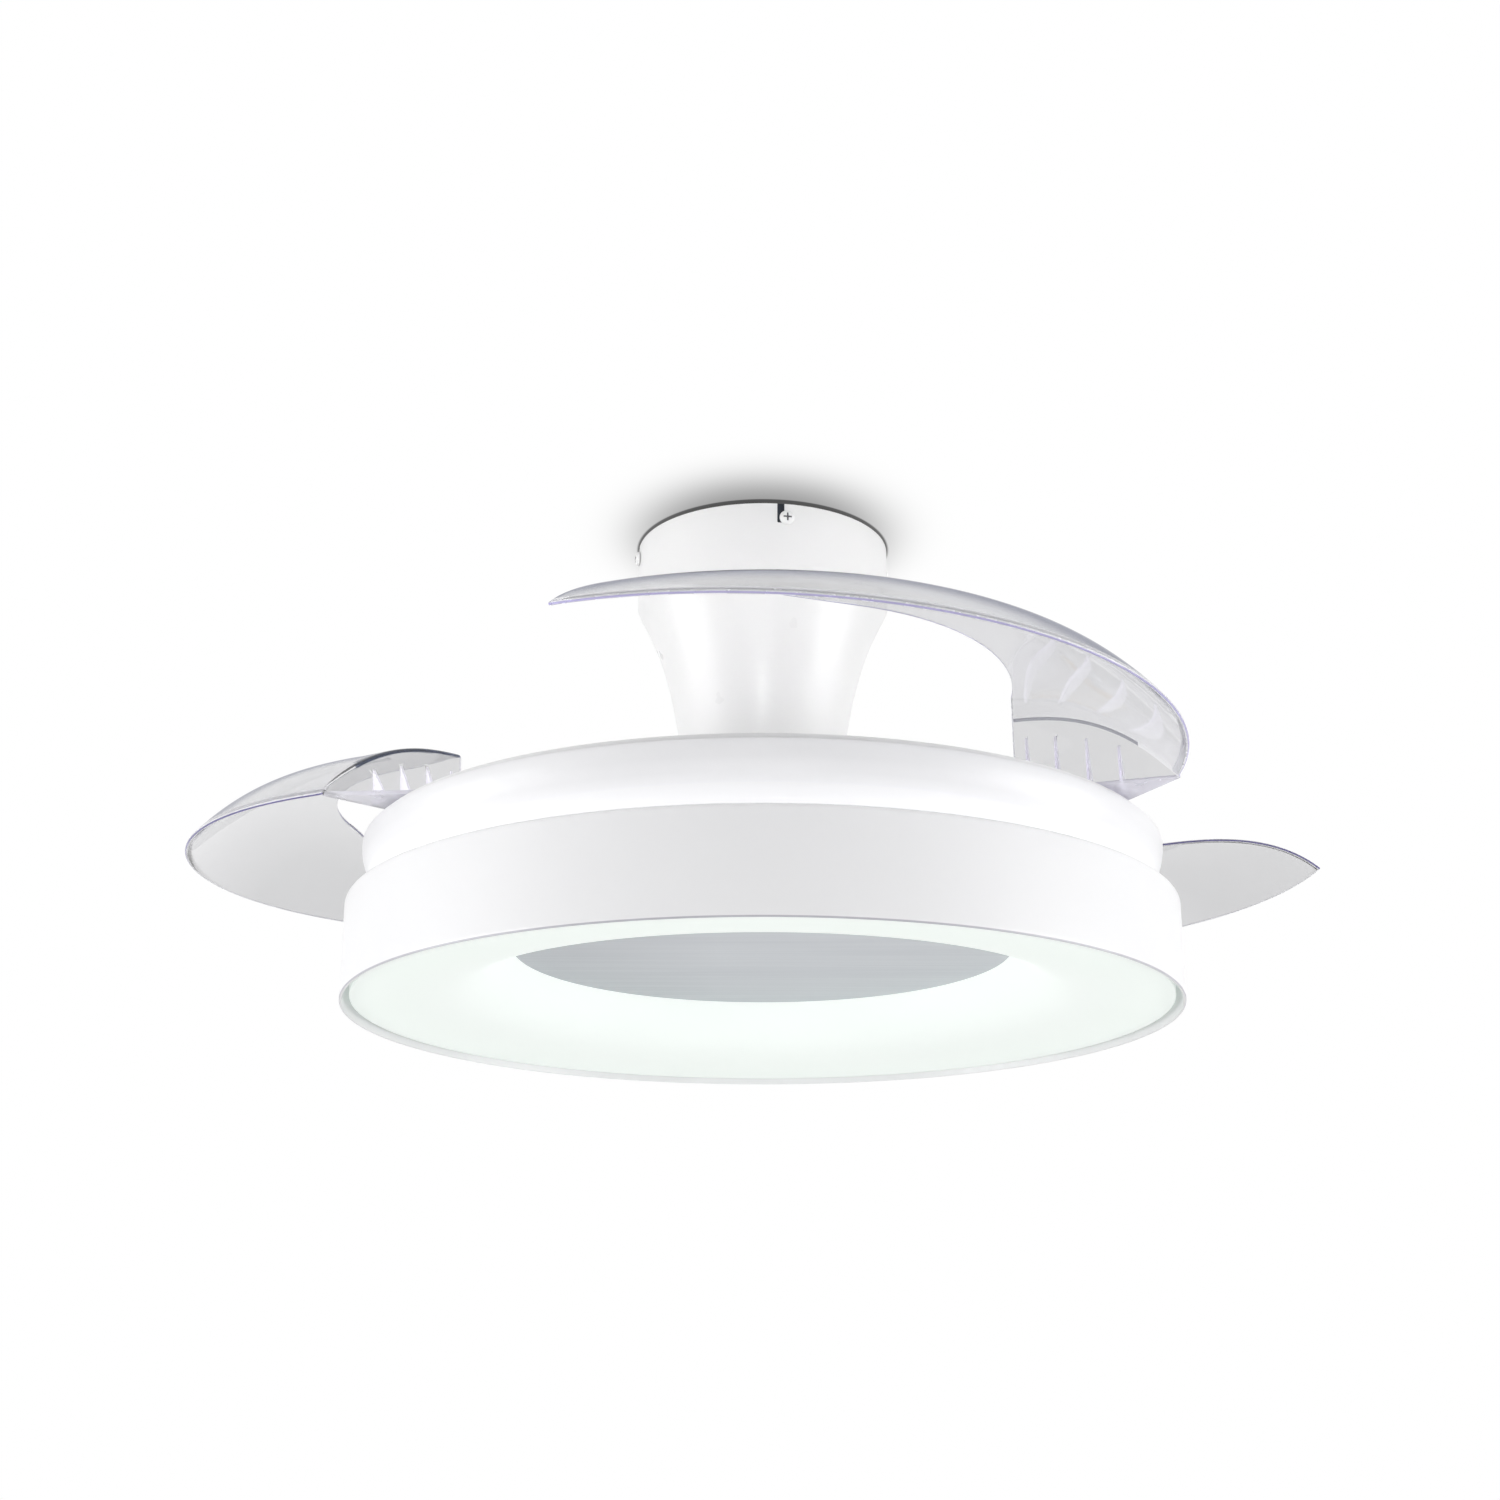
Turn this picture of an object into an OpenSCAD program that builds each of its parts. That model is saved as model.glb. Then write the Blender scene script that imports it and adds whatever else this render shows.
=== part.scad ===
// Ceiling fan with a ring light and three clear blades that fold in over the drum.
// Millimetres. The origin is the centre of the bracket's face against the ceiling, and +Z points up.

/* [Ceiling mount] */
// Whole drop from the ceiling to the lower edge of the light ring
total_h = 348; // [330:1:380]
// Radius of the canopy's straight band
canopy_r = 92; // [86:1:100]
// Height of the canopy's straight band
canopy_band_h = 47; // [40:1:60]
// Wall of the spun canopy
canopy_wall = 1.5; // [1.2:0.1:2.2]
// Radius that the canopy's neck runs down to
neck_r = 50; // [44:1:56]
// Drop over which the flare of the neck dies out
flare_len = 72.4; // [60:0.1:85]
// Width of the slots that the canopy hangs by
slot_w = 5.2; // [5:0.1:7]
// Depth of those slots from the canopy's top edge
slot_h = 15; // [14.5:0.5:18]
// How far below the ceiling the canopy screws sit
canopy_screw_drop = 11.3; // [10:0.1:11.6]
// Turn of the first canopy screw from the row's +X axis, degrees
canopy_screw_turn = -79.3; // [-90:0.1:-60]
// Thickness of the bracket plate
bracket_t = 2.5; // [2:0.1:4]
// Circle of the four ceiling bolts
bolt_circle_r = 60; // [54:1:68]
// Radius of each ceiling bolt's hole
bolt_hole_r = 3.25; // [2.6:0.05:4]

/* [Light ring] */
// Outer radius of the light ring
ring_r = 290; // [286:1:300]
// Height of the light ring
ring_h = 68.5; // [66:0.5:74]
// Wall of the light ring
ring_wall = 2; // [1.6:0.1:3]
// Outer radius of the diffuser's rim
diffuser_r = 283.5; // [280:0.1:284.5]
// Wall of the diffuser
diffuser_t = 2.5; // [2:0.1:3.5]
// How far the diffuser's rim stands back inside the ring
rim_setback = 4; // [2:0.5:8]
// Radius of the diffuser's throat
throat_r = 175; // [165:1:185]
// Height of the throat above the ring's lower edge
throat_h = 45; // [40:0.5:48]
// How sharply the trumpet of the diffuser turns up into the throat
trumpet_power = 4.5; // [3:0.1:6]
// Thickness of the plate over the throat
plate_t = 1.5; // [1:0.1:2.5]
// Height of the light pan's underside above the ring's lower edge
pan_rise = 60; // [58:0.5:61]
// Thickness of the light pan
pan_t = 2; // [1.5:0.1:2.5]
// Inner radius of the LED board
led_in_r = 196; // [192:1:205]
// Outer radius of the LED board
led_out_r = 262; // [250:1:264]
// LEDs in each ring on the board
led_count = 36; // [24:1:48]

/* [Drum] */
// Outer radius of the drum's rim
drum_r = 280.3; // [276:0.1:284]
// How far the rim stands above the light ring
drum_rise = 42.7; // [40:0.1:46]
// Wall of the drum
drum_wall = 2; // [1.5:0.1:2.5]
// How far the drum's side turns in on its way down to the floor
drum_turn_in = 66; // [50:1:75]
// Straight lip at the top of the drum
drum_lip_h = 3; // [2:0.5:5]

/* [Motor] */
// Radius of the fixed hollow shaft
shaft_r = 8.5; // [8:0.1:9.2]
// Radius of the shaft's cable bore
shaft_bore_r = 5; // [4.5:0.1:5.5]
// Outer radius of the motor's bells
bell_r = 82; // [80:0.5:90]
// Wall of the motor's bells
bell_wall = 2.5; // [2:0.1:3]
// Height of the motor
motor_h = 32; // [31.6:0.1:33]
// Outer radius of the bearings
bearing_r = 17.5; // [16.5:0.1:19]
// Width of each bearing
bearing_w = 10; // [9:0.5:10]
// Radius of the bearing balls
ball_r = 2.4; // [2:0.1:2.4]
// Balls in each bearing
ball_count = 9; // [7:1:9]
// Gap between the stator and the magnets
air_gap = 0.8; // [0.5:0.1:1.5]
// Thickness of the stator's core
core_h = 12; // [10:0.5:14]
// Poles of the stator
pole_count = 12; // [9:3:15]
// Magnets round the rotor
magnet_count = 16; // [12:2:20]
// Thickness of the magnets
magnet_t = 4; // [3:0.1:5]

/* [Blade carrier] */
// Radius of the carrier plate
carrier_r = 256; // [252:1:262]
// Thickness of the carrier plate
carrier_t = 3; // [2:0.1:4]
// Radius of the dust cover over the gears
cover_r = 275; // [268:1:277]
// Thickness of the dust cover
cover_t = 1.5; // [1:0.1:2]
// How far the dust cover stands above the drum's rim
cover_above_rim = 4.3; // [3:0.1:6]
// Height of the dust cover's skirt, which hangs inside the drum
cover_skirt = 6; // [4:0.5:8]
// Radius of the boss that the sync gear turns on
sync_boss_r = 45; // [40:0.5:50]
// Thickness of the gears
gear_t = 6; // [5:0.5:7]
// Module of the gears
gear_module = 2.5; // [2.48:0.01:2.52]
// Teeth that a full sync gear would have
sync_teeth = 144; // [141:3:147]
// Teeth that a full blade pinion would have
pinion_teeth = 27; // [26:1:28]
// Radius of the blade pivot pins
pin_r = 6; // [5:0.1:6.5]
// Wall of the pivot bushes
bush_wall = 2; // [1.5:0.1:2.5]
// Radius of the blade hub's shank
shank_r = 20; // [19:0.5:21]

/* [Blades] */
// Outer radius of a blade, and of the folded ring of blades
blade_out_r = 264.4; // [260:0.1:266]
// Inner radius of a blade
blade_in_r = 158.2; // [152:0.1:162]
// Distance of an open blade's arc centre from the fan's axis
blade_offset = 187.9; // [182:0.1:190]
// Sweep of a blade's outer edge, degrees
blade_sweep = 115.4; // [105:0.1:116]
// Sweep that the rounded tip takes, degrees
tip_sweep = 45; // [30:1:50]
// Thickness of the blade's skin
blade_t = 2.4; // [2:0.1:3]
// How far the outer edge climbs from root to tip
edge_climb = 17.5; // [16.5:0.1:24]
// Crown of the blade over its outer edge at the root
crown_root = 49; // [44:0.5:49.5]
// Crown of the blade over its outer edge at the tip
crown_tip = 33.6; // [33:0.1:40]
// How quickly the crown rises from the outer edge
crown_power = 2.7; // [2:0.1:3.5]
// Distance of the step between skin and pad from the centre of the blade's arc
step_rise = 93; // [88:0.1:96]
// How far the step turns its outer end towards the tip, degrees
step_slant = 19; // [17:0.1:21]
// How fast the inner edge leaves its arc at the root, mm for each degree
root_flare = 0.37; // [0.2:0.01:0.45]
// Thickness of the blade's root pad
pad_t = 3; // [2.5:0.1:4]
// Ribs that brace the step
rib_count = 4; // [3:1:5]
// Thickness of those ribs
rib_t = 1.8; // [1.5:0.1:2.5]

/* [Clearances] */
// Radial clearance of the running fits
run_fit = 0.05; // [0.03:0.01:0.09]
// Gap between a piece and its loose seat
seat_gap = 0.3; // [0.2:0.05:0.4]
// Gap between moving faces
move_gap = 1; // [0.7:0.1:1.3]

/* [Hidden] */
$fn = 96;
hair = 0.01;

// Levels, from the light ring up
z_ring = -total_h;
z_ring_top = z_ring + ring_h;
z_rim = z_ring_top + drum_rise;
z_pan = z_ring + pan_rise;
z_pan_top = z_pan + pan_t;
z_floor = z_pan_top + drum_wall;
z_throat = z_ring + throat_h;
z_cover_top = z_rim + cover_above_rim;
z_cover = z_cover_top - cover_t;
gear_top_gap = 0.7;
z_gear_top = z_cover - gear_top_gap;
z_gear = z_gear_top - gear_t;
z_carrier_top = z_gear - seat_gap;
z_carrier = z_carrier_top - carrier_t;
z_motor = z_carrier - motor_h;
z_mid = z_motor + motor_h / 2;
pad_over_cover = 2;
z_pad = z_cover_top + pad_over_cover;
z_pad_top = z_pad + pad_t;
neck_gap = 3.5;
z_neck = z_cover_top + neck_gap;

// Blade geometry: the pivot stands on the line midway between the fan's axis and the arc's centre,
// so that one turn about it brings the arc concentric with the drum
pivot_r = gear_module * (sync_teeth + pinion_teeth) / 2;
pivot_x = sqrt(pow(pivot_r, 2) - pow(blade_offset / 2, 2));
pivot_y = -blade_offset / 2;
pivot_turn = atan2(pivot_y, pivot_x);
fold_deg = 2 * asin(blade_offset / 2 / pivot_r);
blade_w = blade_out_r - blade_in_r;
blades = 3;
blade_turn = 360 / blades;

// Canopy screws and bracket ears
canopy_screws_n = 4;
ear_w = 16;
ear_h = canopy_screw_drop + 6;
ear_t = 3;
ear_face_r = canopy_r - canopy_wall - seat_gap;
canopy_screw_r = 2.2;
canopy_screw_end = 3 + 2 * seat_gap;
canopy_head_r = 5.4;
canopy_head_t = 3;

// Shaft
flange_r = 34;
flange_t = 5;
collar_h = 8;
flange_bolt_circle_r = 26;
flange_bolts = 4;
nut_af = 27;
nut_t = 6;
shaft_tail = 1;
z_shaft_top = -bracket_t;
z_shaft_end = z_pan - nut_t - shaft_tail;

// Motor
stator_r = bell_r - bell_wall - magnet_t - air_gap;
stator_bore_r = 34;
hub_disc_t = 5;
race_t = 2.6;
race_step = 0.4;
flange_out_r = bell_r + 8;
bell_flange_t = 1.8;
bell_screws = 6;
lip_in_r = bearing_r - 5;
seat_wall = 3.5;
z_low_bearing = z_mid - hub_disc_t / 2 - move_gap * 1.5 - bearing_w;
z_top_bearing = z_mid + hub_disc_t / 2 + move_gap * 1.5;
carrier_bolt_circle_r = 30;
boss_floor_t = 1;
carrier_bolts = 6;

// Gears
tooth_add = 0.9 * gear_module;
tooth_ded = 1.25 * gear_module;
press_deg = 20;
tooth_slack = 0.16;
sync_pitch_r = gear_module * sync_teeth / 2;
pinion_pitch_r = gear_module * pinion_teeth / 2;
sync_travel = fold_deg * pinion_teeth / sync_teeth;
spoke_deg = 16;
window_in_r = 66;
window_out_r = sync_pitch_r - tooth_ded - 14;

// Cover bosses stand clear of the pinions
boss_circle_r = carrier_r - 10;
boss_r = 5;
boss_turns = [32, 60, 88];

// Springs between the carrier and the sync gear
spring_r = 2.6;
spring_wire = 0.7;
spring_circle_r = 118;
spring_span_deg = 26;
post_r = 2;

// Blade hub
spigot_r = 11.5;
hub_bolt_circle_r = 15.8;
hub_bolts = 3;
hub_screw_r = 1.8;
bush_r = pin_r + bush_wall;
bush_flange_r = 10.5;
bush_flange_t = 1.5;
spigot_rise = 2;
pad_r = 30;
retainer_t = 1.5;
retainer_screw_r = 2;
retainer_screw_l = 11;
z_hub_top = z_pad_top + spigot_rise;
z_bush_top = z_hub_top + bush_flange_t;
z_pin_top = z_bush_top + seat_gap;

// Light kit
led_t = 1.6;
spacer_r = 5;
spacer_circle_r = 140;
spacers = 4;
skirt_t = 2;
ring_screw_count = 6;
ring_boss_r = 4;
ring_boss_circle_r = ring_r - ring_wall - ring_boss_r + 0.5;
lock_t = 2;
locks = 4;
z_lock = z_ring + throat_h;
lock_run = 10;
driver_l = 120;
driver_w = 52;
driver_h = 12.5;
driver_x = 78;
receiver_l = 60;
receiver_w = 34;
receiver_h = 22;
receiver_y = 38;
receiver_notch = 28;
block_l = 34;
block_w = 20;
block_h = 15;
cable_r = 2.2;
cable_bend_r = 6;
cable_run = 8;
cable_rest = 0.4;

// ---------- helpers ----------

module ring(outer_r, inner_r, z, t) {
    translate([0, 0, z])
        difference() {
            cylinder(r = outer_r, h = t);
            translate([0, 0, -1])
                cylinder(r = inner_r, h = t + 2);
        }
}

// Copies of a piece spread over a circle
module around(count, radius, first = 0) {
    for (i = [0 : count - 1])
        rotate([0, 0, first + i * 360 / count])
            translate([radius, 0, 0])
                children();
}

// A pan-head screw that points down, its head seated at z = 0
module screw(shank_r, length, head_r, head_t) {
    translate([0, 0, -length])
        cylinder(r = shank_r, h = length + hair);
    difference() {
        cylinder(r = head_r, h = head_t);
        for (turn = [0, 90])
            rotate([0, 0, turn])
                translate([-head_r * 0.6, -head_r * 0.11, head_t * 0.45])
                    cube([head_r * 1.2, head_r * 0.22, head_t]);
    }
}

// ---------- ceiling mount ----------

module ceiling_bracket() {
    plate_r = ear_face_r - ear_t;
    color("lightgrey")
    difference() {
        union() {
            translate([0, 0, -bracket_t])
                cylinder(r = plate_r, h = bracket_t);
            around(canopy_screws_n, 0, canopy_screw_turn)
                intersection() {
                    translate([plate_r - 6, -ear_w / 2, -ear_h])
                        cube([ear_face_r - plate_r + 6, ear_w, ear_h]);
                    union() {
                        ring(ear_face_r, ear_face_r - ear_t, -ear_h, ear_h);
                        ring(ear_face_r, plate_r - 6, -bracket_t, bracket_t);
                    }
                }
        }
        around(4, bolt_circle_r, 45)
            translate([0, 0, -bracket_t - 1])
                cylinder(r = bolt_hole_r, h = bracket_t + 2);
        translate([0, 0, -bracket_t - 1])
            cylinder(r = shaft_bore_r + 4, h = bracket_t + 2);
        around(canopy_screws_n, 0, canopy_screw_turn)
            translate([ear_face_r - ear_t - 2, 0, -canopy_screw_drop])
                rotate([0, 90, 0])
                    cylinder(r = canopy_screw_r, h = ear_t + 4);
        around(flange_bolts, flange_bolt_circle_r, 45)
            translate([0, 0, -bracket_t - 1])
                cylinder(r = 2, h = bracket_t + 2);
    }
}

// Radius of the flare at a depth below the straight band
function flare_r(depth) = neck_r + (canopy_r - neck_r) * exp(-depth / flare_len);

module canopy() {
    steps = 16;
    drop = -canopy_band_h - z_neck;
    outer = [for (i = [0 : steps]) [flare_r(drop * i / steps), -canopy_band_h - drop * i / steps]];
    inner = [for (i = [steps : -1 : 0])
        [flare_r(drop * i / steps) - canopy_wall, -canopy_band_h - drop * i / steps]];
    color("white")
    difference() {
        rotate_extrude()
            polygon(concat([[canopy_r, -seat_gap]], outer, inner, [[canopy_r - canopy_wall, -seat_gap]]));
        around(canopy_screws_n, 0, canopy_screw_turn) {
            leg_w = 2 * canopy_screw_r + 1;
            slot_mid = -0.8 * slot_w;
            translate([canopy_r - canopy_wall - 2, slot_mid - slot_w / 2, -slot_h])
                cube([canopy_wall + 4, slot_w, slot_h]);
            translate([canopy_r - canopy_wall - 2, slot_mid, -canopy_screw_drop - leg_w / 2])
                cube([canopy_wall + 4, -slot_mid + leg_w / 2, leg_w]);
        }
    }
}

module canopy_screws() {
    color("silver")
    around(canopy_screws_n, canopy_r + seat_gap, canopy_screw_turn)
        translate([0, 0, -canopy_screw_drop])
            rotate([0, 90, 0])
                screw(canopy_screw_r, canopy_wall + ear_t + canopy_screw_end, canopy_head_r, canopy_head_t);
}

module hollow_shaft() {
    color("silver")
    difference() {
        union() {
            translate([0, 0, z_shaft_top - flange_t])
                cylinder(r = flange_r, h = flange_t);
            translate([0, 0, z_shaft_top - flange_t - collar_h])
                cylinder(r = shaft_r + 6, h = collar_h + hair);
            translate([0, 0, z_shaft_end])
                cylinder(r = shaft_r, h = z_shaft_top - z_shaft_end - flange_t);
        }
        translate([0, 0, z_shaft_end - 1])
            cylinder(r = shaft_bore_r, h = total_h);
        // way out of the bore for the loom, under the flange
        translate([0, -shaft_bore_r, z_shaft_top - flange_t - collar_h - 2 * shaft_bore_r])
            cube([shaft_r + 8, 2 * shaft_bore_r, 2 * shaft_bore_r]);
        around(flange_bolts, flange_bolt_circle_r, 45)
            translate([0, 0, z_shaft_top - flange_t - 1])
                cylinder(r = 2.5, h = flange_t + 2);
    }
}

module flange_screws() {
    color("silver")
    around(flange_bolts, flange_bolt_circle_r, 45)
        translate([0, 0, z_shaft_top - flange_t])
            rotate([180, 0, 0])
                screw(2, flange_t + bracket_t, 4, 2.6);
}

module terminal_block() {
    ways = 3;
    color("white")
    translate([-block_l / 2, -52 - block_w, -bracket_t - block_h])
        difference() {
            cube([block_l, block_w, block_h]);
            for (i = [0 : ways - 1]) {
                translate([block_l * (i + 0.5) / ways, -1, block_h * 0.55])
                    rotate([-90, 0, 0])
                        cylinder(r = 2, h = block_w + 2);
                translate([block_l * (i + 0.5) / ways, block_w / 2, -1])
                    cylinder(r = 1.8, h = block_h * 0.5);
            }
        }
}

module receiver_box() {
    color("white")
    translate([-receiver_l / 2, receiver_y, -bracket_t - receiver_h])
        difference() {
            linear_extrude(receiver_h)
                hull()
                    for (x = [4, receiver_l - 4], y = [4, receiver_w - 4])
                        translate([x, y])
                            circle(r = 4, $fn = 32);
            translate([(receiver_l - receiver_notch) / 2, -1, receiver_h - 3])
                cube([receiver_notch, receiver_w + 2, 4]);
        }
}

// Cable that runs up the shaft, out under the flange and into the receiver, and down into the driver
module wiring_loom() {
    z_out = z_shaft_top - flange_t - collar_h - shaft_bore_r;
    z_in = z_throat + plate_t + cable_r + cable_rest;
    color("dimgray")
    union() {
        translate([0, 0, z_in + cable_bend_r])
            cylinder(r = cable_r, h = z_out - z_in - 2 * cable_bend_r);
        translate([cable_bend_r, 0, z_out - cable_bend_r])
            rotate([90, 0, 180])
                rotate_extrude(angle = 90)
                    translate([cable_bend_r, 0])
                        circle(r = cable_r, $fn = 32);
        translate([cable_bend_r, 0, z_in + cable_bend_r])
            rotate([-90, 0, 180])
                rotate_extrude(angle = 90)
                    translate([cable_bend_r, 0])
                        circle(r = cable_r, $fn = 32);
        translate([cable_bend_r, 0, z_in])
            rotate([0, 90, 0])
                cylinder(r = cable_r, h = driver_x - driver_w / 2 - cable_bend_r);
        translate([cable_bend_r, 0, z_out])
            rotate([0, 90, 0])
                cylinder(r = cable_r, h = cable_run);
        translate([cable_bend_r + cable_run, cable_bend_r, z_out])
            rotate([0, 0, -90])
                rotate_extrude(angle = 90)
                    translate([cable_bend_r, 0])
                        circle(r = cable_r, $fn = 32);
        translate([2 * cable_bend_r + cable_run, cable_bend_r, z_out])
            rotate([-90, 0, 0])
                cylinder(r = cable_r, h = receiver_y - cable_bend_r);
    }
}

module shaft_nuts() {
    color("silver")
    for (z = [z_floor, z_pan - nut_t])
        translate([0, 0, z])
            difference() {
                cylinder(r = nut_af / sqrt(3), h = nut_t, $fn = 6);
                translate([0, 0, -1])
                    cylinder(r = shaft_r, h = nut_t + 2);
            }
}

// ---------- motor ----------

module stator_hub() {
    boss_r = shaft_r + race_t - race_step;
    color("silver")
    difference() {
        union() {
            translate([0, 0, z_mid - hub_disc_t / 2])
                cylinder(r = stator_bore_r, h = hub_disc_t);
            translate([0, 0, z_low_bearing + bearing_w])
                cylinder(r = boss_r, h = z_top_bearing - z_low_bearing - bearing_w);
        }
        translate([0, 0, z_motor])
            cylinder(r = shaft_r, h = motor_h);
    }
}

pole_w = 9;
core_ring_w = 9;
shoe_t = 3;
shoe_gap = 3;

module stator_core() {
    pole_l = stator_r - stator_bore_r;
    color("dimgray")
    translate([0, 0, z_mid - core_h / 2])
        union() {
            ring(stator_bore_r + core_ring_w, stator_bore_r, 0, core_h);
            around(pole_count, 0)
                translate([stator_bore_r + core_ring_w / 2, -pole_w / 2, 0])
                    cube([pole_l - core_ring_w / 2 - shoe_t / 2, pole_w, core_h]);
            difference() {
                ring(stator_r, stator_r - shoe_t, 0, core_h);
                around(pole_count, stator_r - shoe_t - 2, 180 / pole_count)
                    translate([0, -shoe_gap / 2, -1])
                        cube([shoe_t + 4, shoe_gap, core_h + 2]);
            }
        }
}

module stator_windings() {
    coil_in = stator_bore_r + core_ring_w + 1;
    coil_out = stator_r - shoe_t - 1.5;
    coil_side = 3.6;
    coil_over = 4.5;
    color("peru")
    around(pole_count, 0)
        difference() {
            translate([coil_in, -pole_w / 2 - coil_side, z_mid - core_h / 2 - coil_over])
                cube([coil_out - coil_in, pole_w + 2 * coil_side, core_h + 2 * coil_over]);
            translate([coil_in - 1, -pole_w / 2, z_mid - core_h / 2])
                cube([coil_out - coil_in + 2, pole_w, core_h]);
        }
}

ball_circle_r = (shaft_r + race_t + bearing_r - race_t) / 2;
groove_r = ball_r + run_fit;

module bearing_groove(z) {
    translate([0, 0, z + bearing_w / 2])
        rotate_extrude()
            translate([ball_circle_r, 0])
                circle(r = groove_r);
}

module bearing_inner_races() {
    color("silver")
    for (z = [z_low_bearing, z_top_bearing])
        difference() {
            ring(shaft_r + race_t, shaft_r, z, bearing_w);
            bearing_groove(z);
        }
}

module bearing_outer_races() {
    color("silver")
    for (z = [z_low_bearing, z_top_bearing])
        difference() {
            ring(bearing_r, bearing_r - race_t, z, bearing_w);
            bearing_groove(z);
        }
}

module bearing_balls() {
    color("silver")
    for (z = [z_low_bearing, z_top_bearing])
        translate([0, 0, z + bearing_w / 2])
            around(ball_count, ball_circle_r)
                sphere(r = ball_r);
}

// One half of the rotor's casing: plate, side wall, joint flange and bearing seat
module bell(z_plate, z_bearing, up) {
    z_split = z_mid;
    wall_z = up ? z_split : z_plate;
    wall_h = up ? z_plate + bell_wall - z_split : z_split - z_plate;
    seat_z = up ? z_bearing - move_gap / 2 : z_plate;
    seat_h = up ? z_plate + bell_wall - seat_z : z_bearing + bearing_w + move_gap / 2 - z_plate;
    difference() {
        union() {
            translate([0, 0, z_plate])
                cylinder(r = bell_r, h = bell_wall);
            ring(bell_r, bell_r - bell_wall, wall_z, wall_h);
            ring(flange_out_r, bell_r - bell_wall, up ? z_split : z_split - bell_flange_t, bell_flange_t);
            translate([0, 0, seat_z])
                cylinder(r = bearing_r + seat_wall, h = seat_h);
        }
        translate([0, 0, z_bearing - (up ? 20 : 0)])
            cylinder(r = bearing_r, h = bearing_w + 20);
        translate([0, 0, z_plate - 20])
            cylinder(r = lip_in_r, h = bell_wall + 40);
        around(bell_screws, bell_r + 4)
            translate([0, 0, z_split - 5])
                cylinder(r = 1.6, h = 10);
    }
}

module lower_bell() {
    color("gainsboro")
    bell(z_motor, z_low_bearing, false);
}

module upper_bell() {
    color("gainsboro")
    difference() {
        bell(z_carrier - bell_wall, z_top_bearing, true);
        around(carrier_bolts, carrier_bolt_circle_r, 15)
            translate([0, 0, z_carrier - bell_wall - 1])
                cylinder(r = 2, h = bell_wall + 2);
    }
}

module bell_screws() {
    color("silver")
    around(bell_screws, bell_r + 4)
        translate([0, 0, z_mid + bell_flange_t])
            screw(1.6, 2 * bell_flange_t + 2, 3, 2);
}

module magnets() {
    magnet_h = core_h + 4;
    share = 0.9;
    out_r = bell_r - bell_wall;
    chord = 2 * out_r * sin(180 * share / magnet_count);
    color("darkslategray")
    around(magnet_count, 0)
        intersection() {
            ring(out_r, out_r - magnet_t, z_mid - magnet_h / 2, magnet_h);
            translate([0, -chord / 2, z_mid - magnet_h / 2])
                cube([out_r + 1, chord, magnet_h]);
        }
}

// ---------- blade carrier ----------

spring_turns = [for (k = [0 : blades - 1]) pivot_turn + k * blade_turn];
window_first = spoke_deg / 2;
window_sweep = blade_turn - spoke_deg;
post_turn = pivot_turn + window_first + 14;
bumper_r = 5;
bumper_shift = 22;
bumper_circle_r = (window_in_r + window_out_r) / 2 + bumper_shift;
bumper_deg = asin(bumper_r / bumper_circle_r);
gap_deg = asin(seat_gap / bumper_circle_r);

module carrier_plate() {
    color("gainsboro")
    difference() {
        union() {
            translate([0, 0, z_carrier])
                cylinder(r = carrier_r, h = carrier_t);
            translate([0, 0, z_carrier])
                cylinder(r = sync_boss_r, h = z_cover - z_carrier);
            for (turn = spring_turns)
                rotate([0, 0, turn + window_first + window_sweep - 14])
                    translate([spring_circle_r, 0, z_carrier_top - hair])
                        cylinder(r = post_r, h = gear_t - 1);
        }
        translate([0, 0, z_carrier - 1])
            cylinder(r = lip_in_r, h = z_cover - z_carrier + 2);
        translate([0, 0, z_carrier_top + boss_floor_t])
            cylinder(r = sync_boss_r - 5, h = z_cover - z_carrier);
        around(blades, pivot_r, pivot_turn)
            translate([0, 0, z_carrier - 1])
                cylinder(r = pin_r, h = carrier_t + 2);
        around(carrier_bolts, carrier_bolt_circle_r, 15)
            translate([0, 0, z_carrier - 1])
                cylinder(r = 2.2, h = carrier_t + boss_floor_t + 2);
        for (turn = boss_turns)
            around(blades, boss_circle_r, pivot_turn + turn)
                translate([0, 0, z_carrier - 1])
                    cylinder(r = 1.6, h = carrier_t + 2);
        // lightening holes between the pivots
        for (turn = [40, 80])
            around(blades, pivot_r - 10, pivot_turn + turn)
                translate([0, 0, z_carrier - 1])
                    cylinder(r = 14, h = carrier_t + 2);
    }
}

module carrier_screws() {
    color("silver")
    around(carrier_bolts, carrier_bolt_circle_r, 15)
        translate([0, 0, z_carrier_top + boss_floor_t])
            screw(2, carrier_t + boss_floor_t + bell_wall + 1, 3.6, 2);
}

module pivot_pins() {
    color("silver")
    around(blades, pivot_r, pivot_turn)
        difference() {
            union() {
                translate([0, 0, z_carrier - 2])
                    cylinder(r = pin_r + 4, h = 2);
                translate([0, 0, z_carrier - hair])
                    cylinder(r = pin_r, h = z_pin_top - z_carrier + hair);
            }
            translate([0, 0, z_pin_top - 12])
                cylinder(r = 2, h = 13);
        }
}

module pivot_retainers() {
    color("silver")
    around(blades, pivot_r, pivot_turn)
        translate([0, 0, z_pin_top]) {
            cylinder(r = bush_flange_r, h = retainer_t);
            translate([0, 0, retainer_t - hair])
                screw(retainer_screw_r, retainer_screw_l, 2.2 * retainer_screw_r, 1.5 * retainer_screw_r);
        }
}

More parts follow.
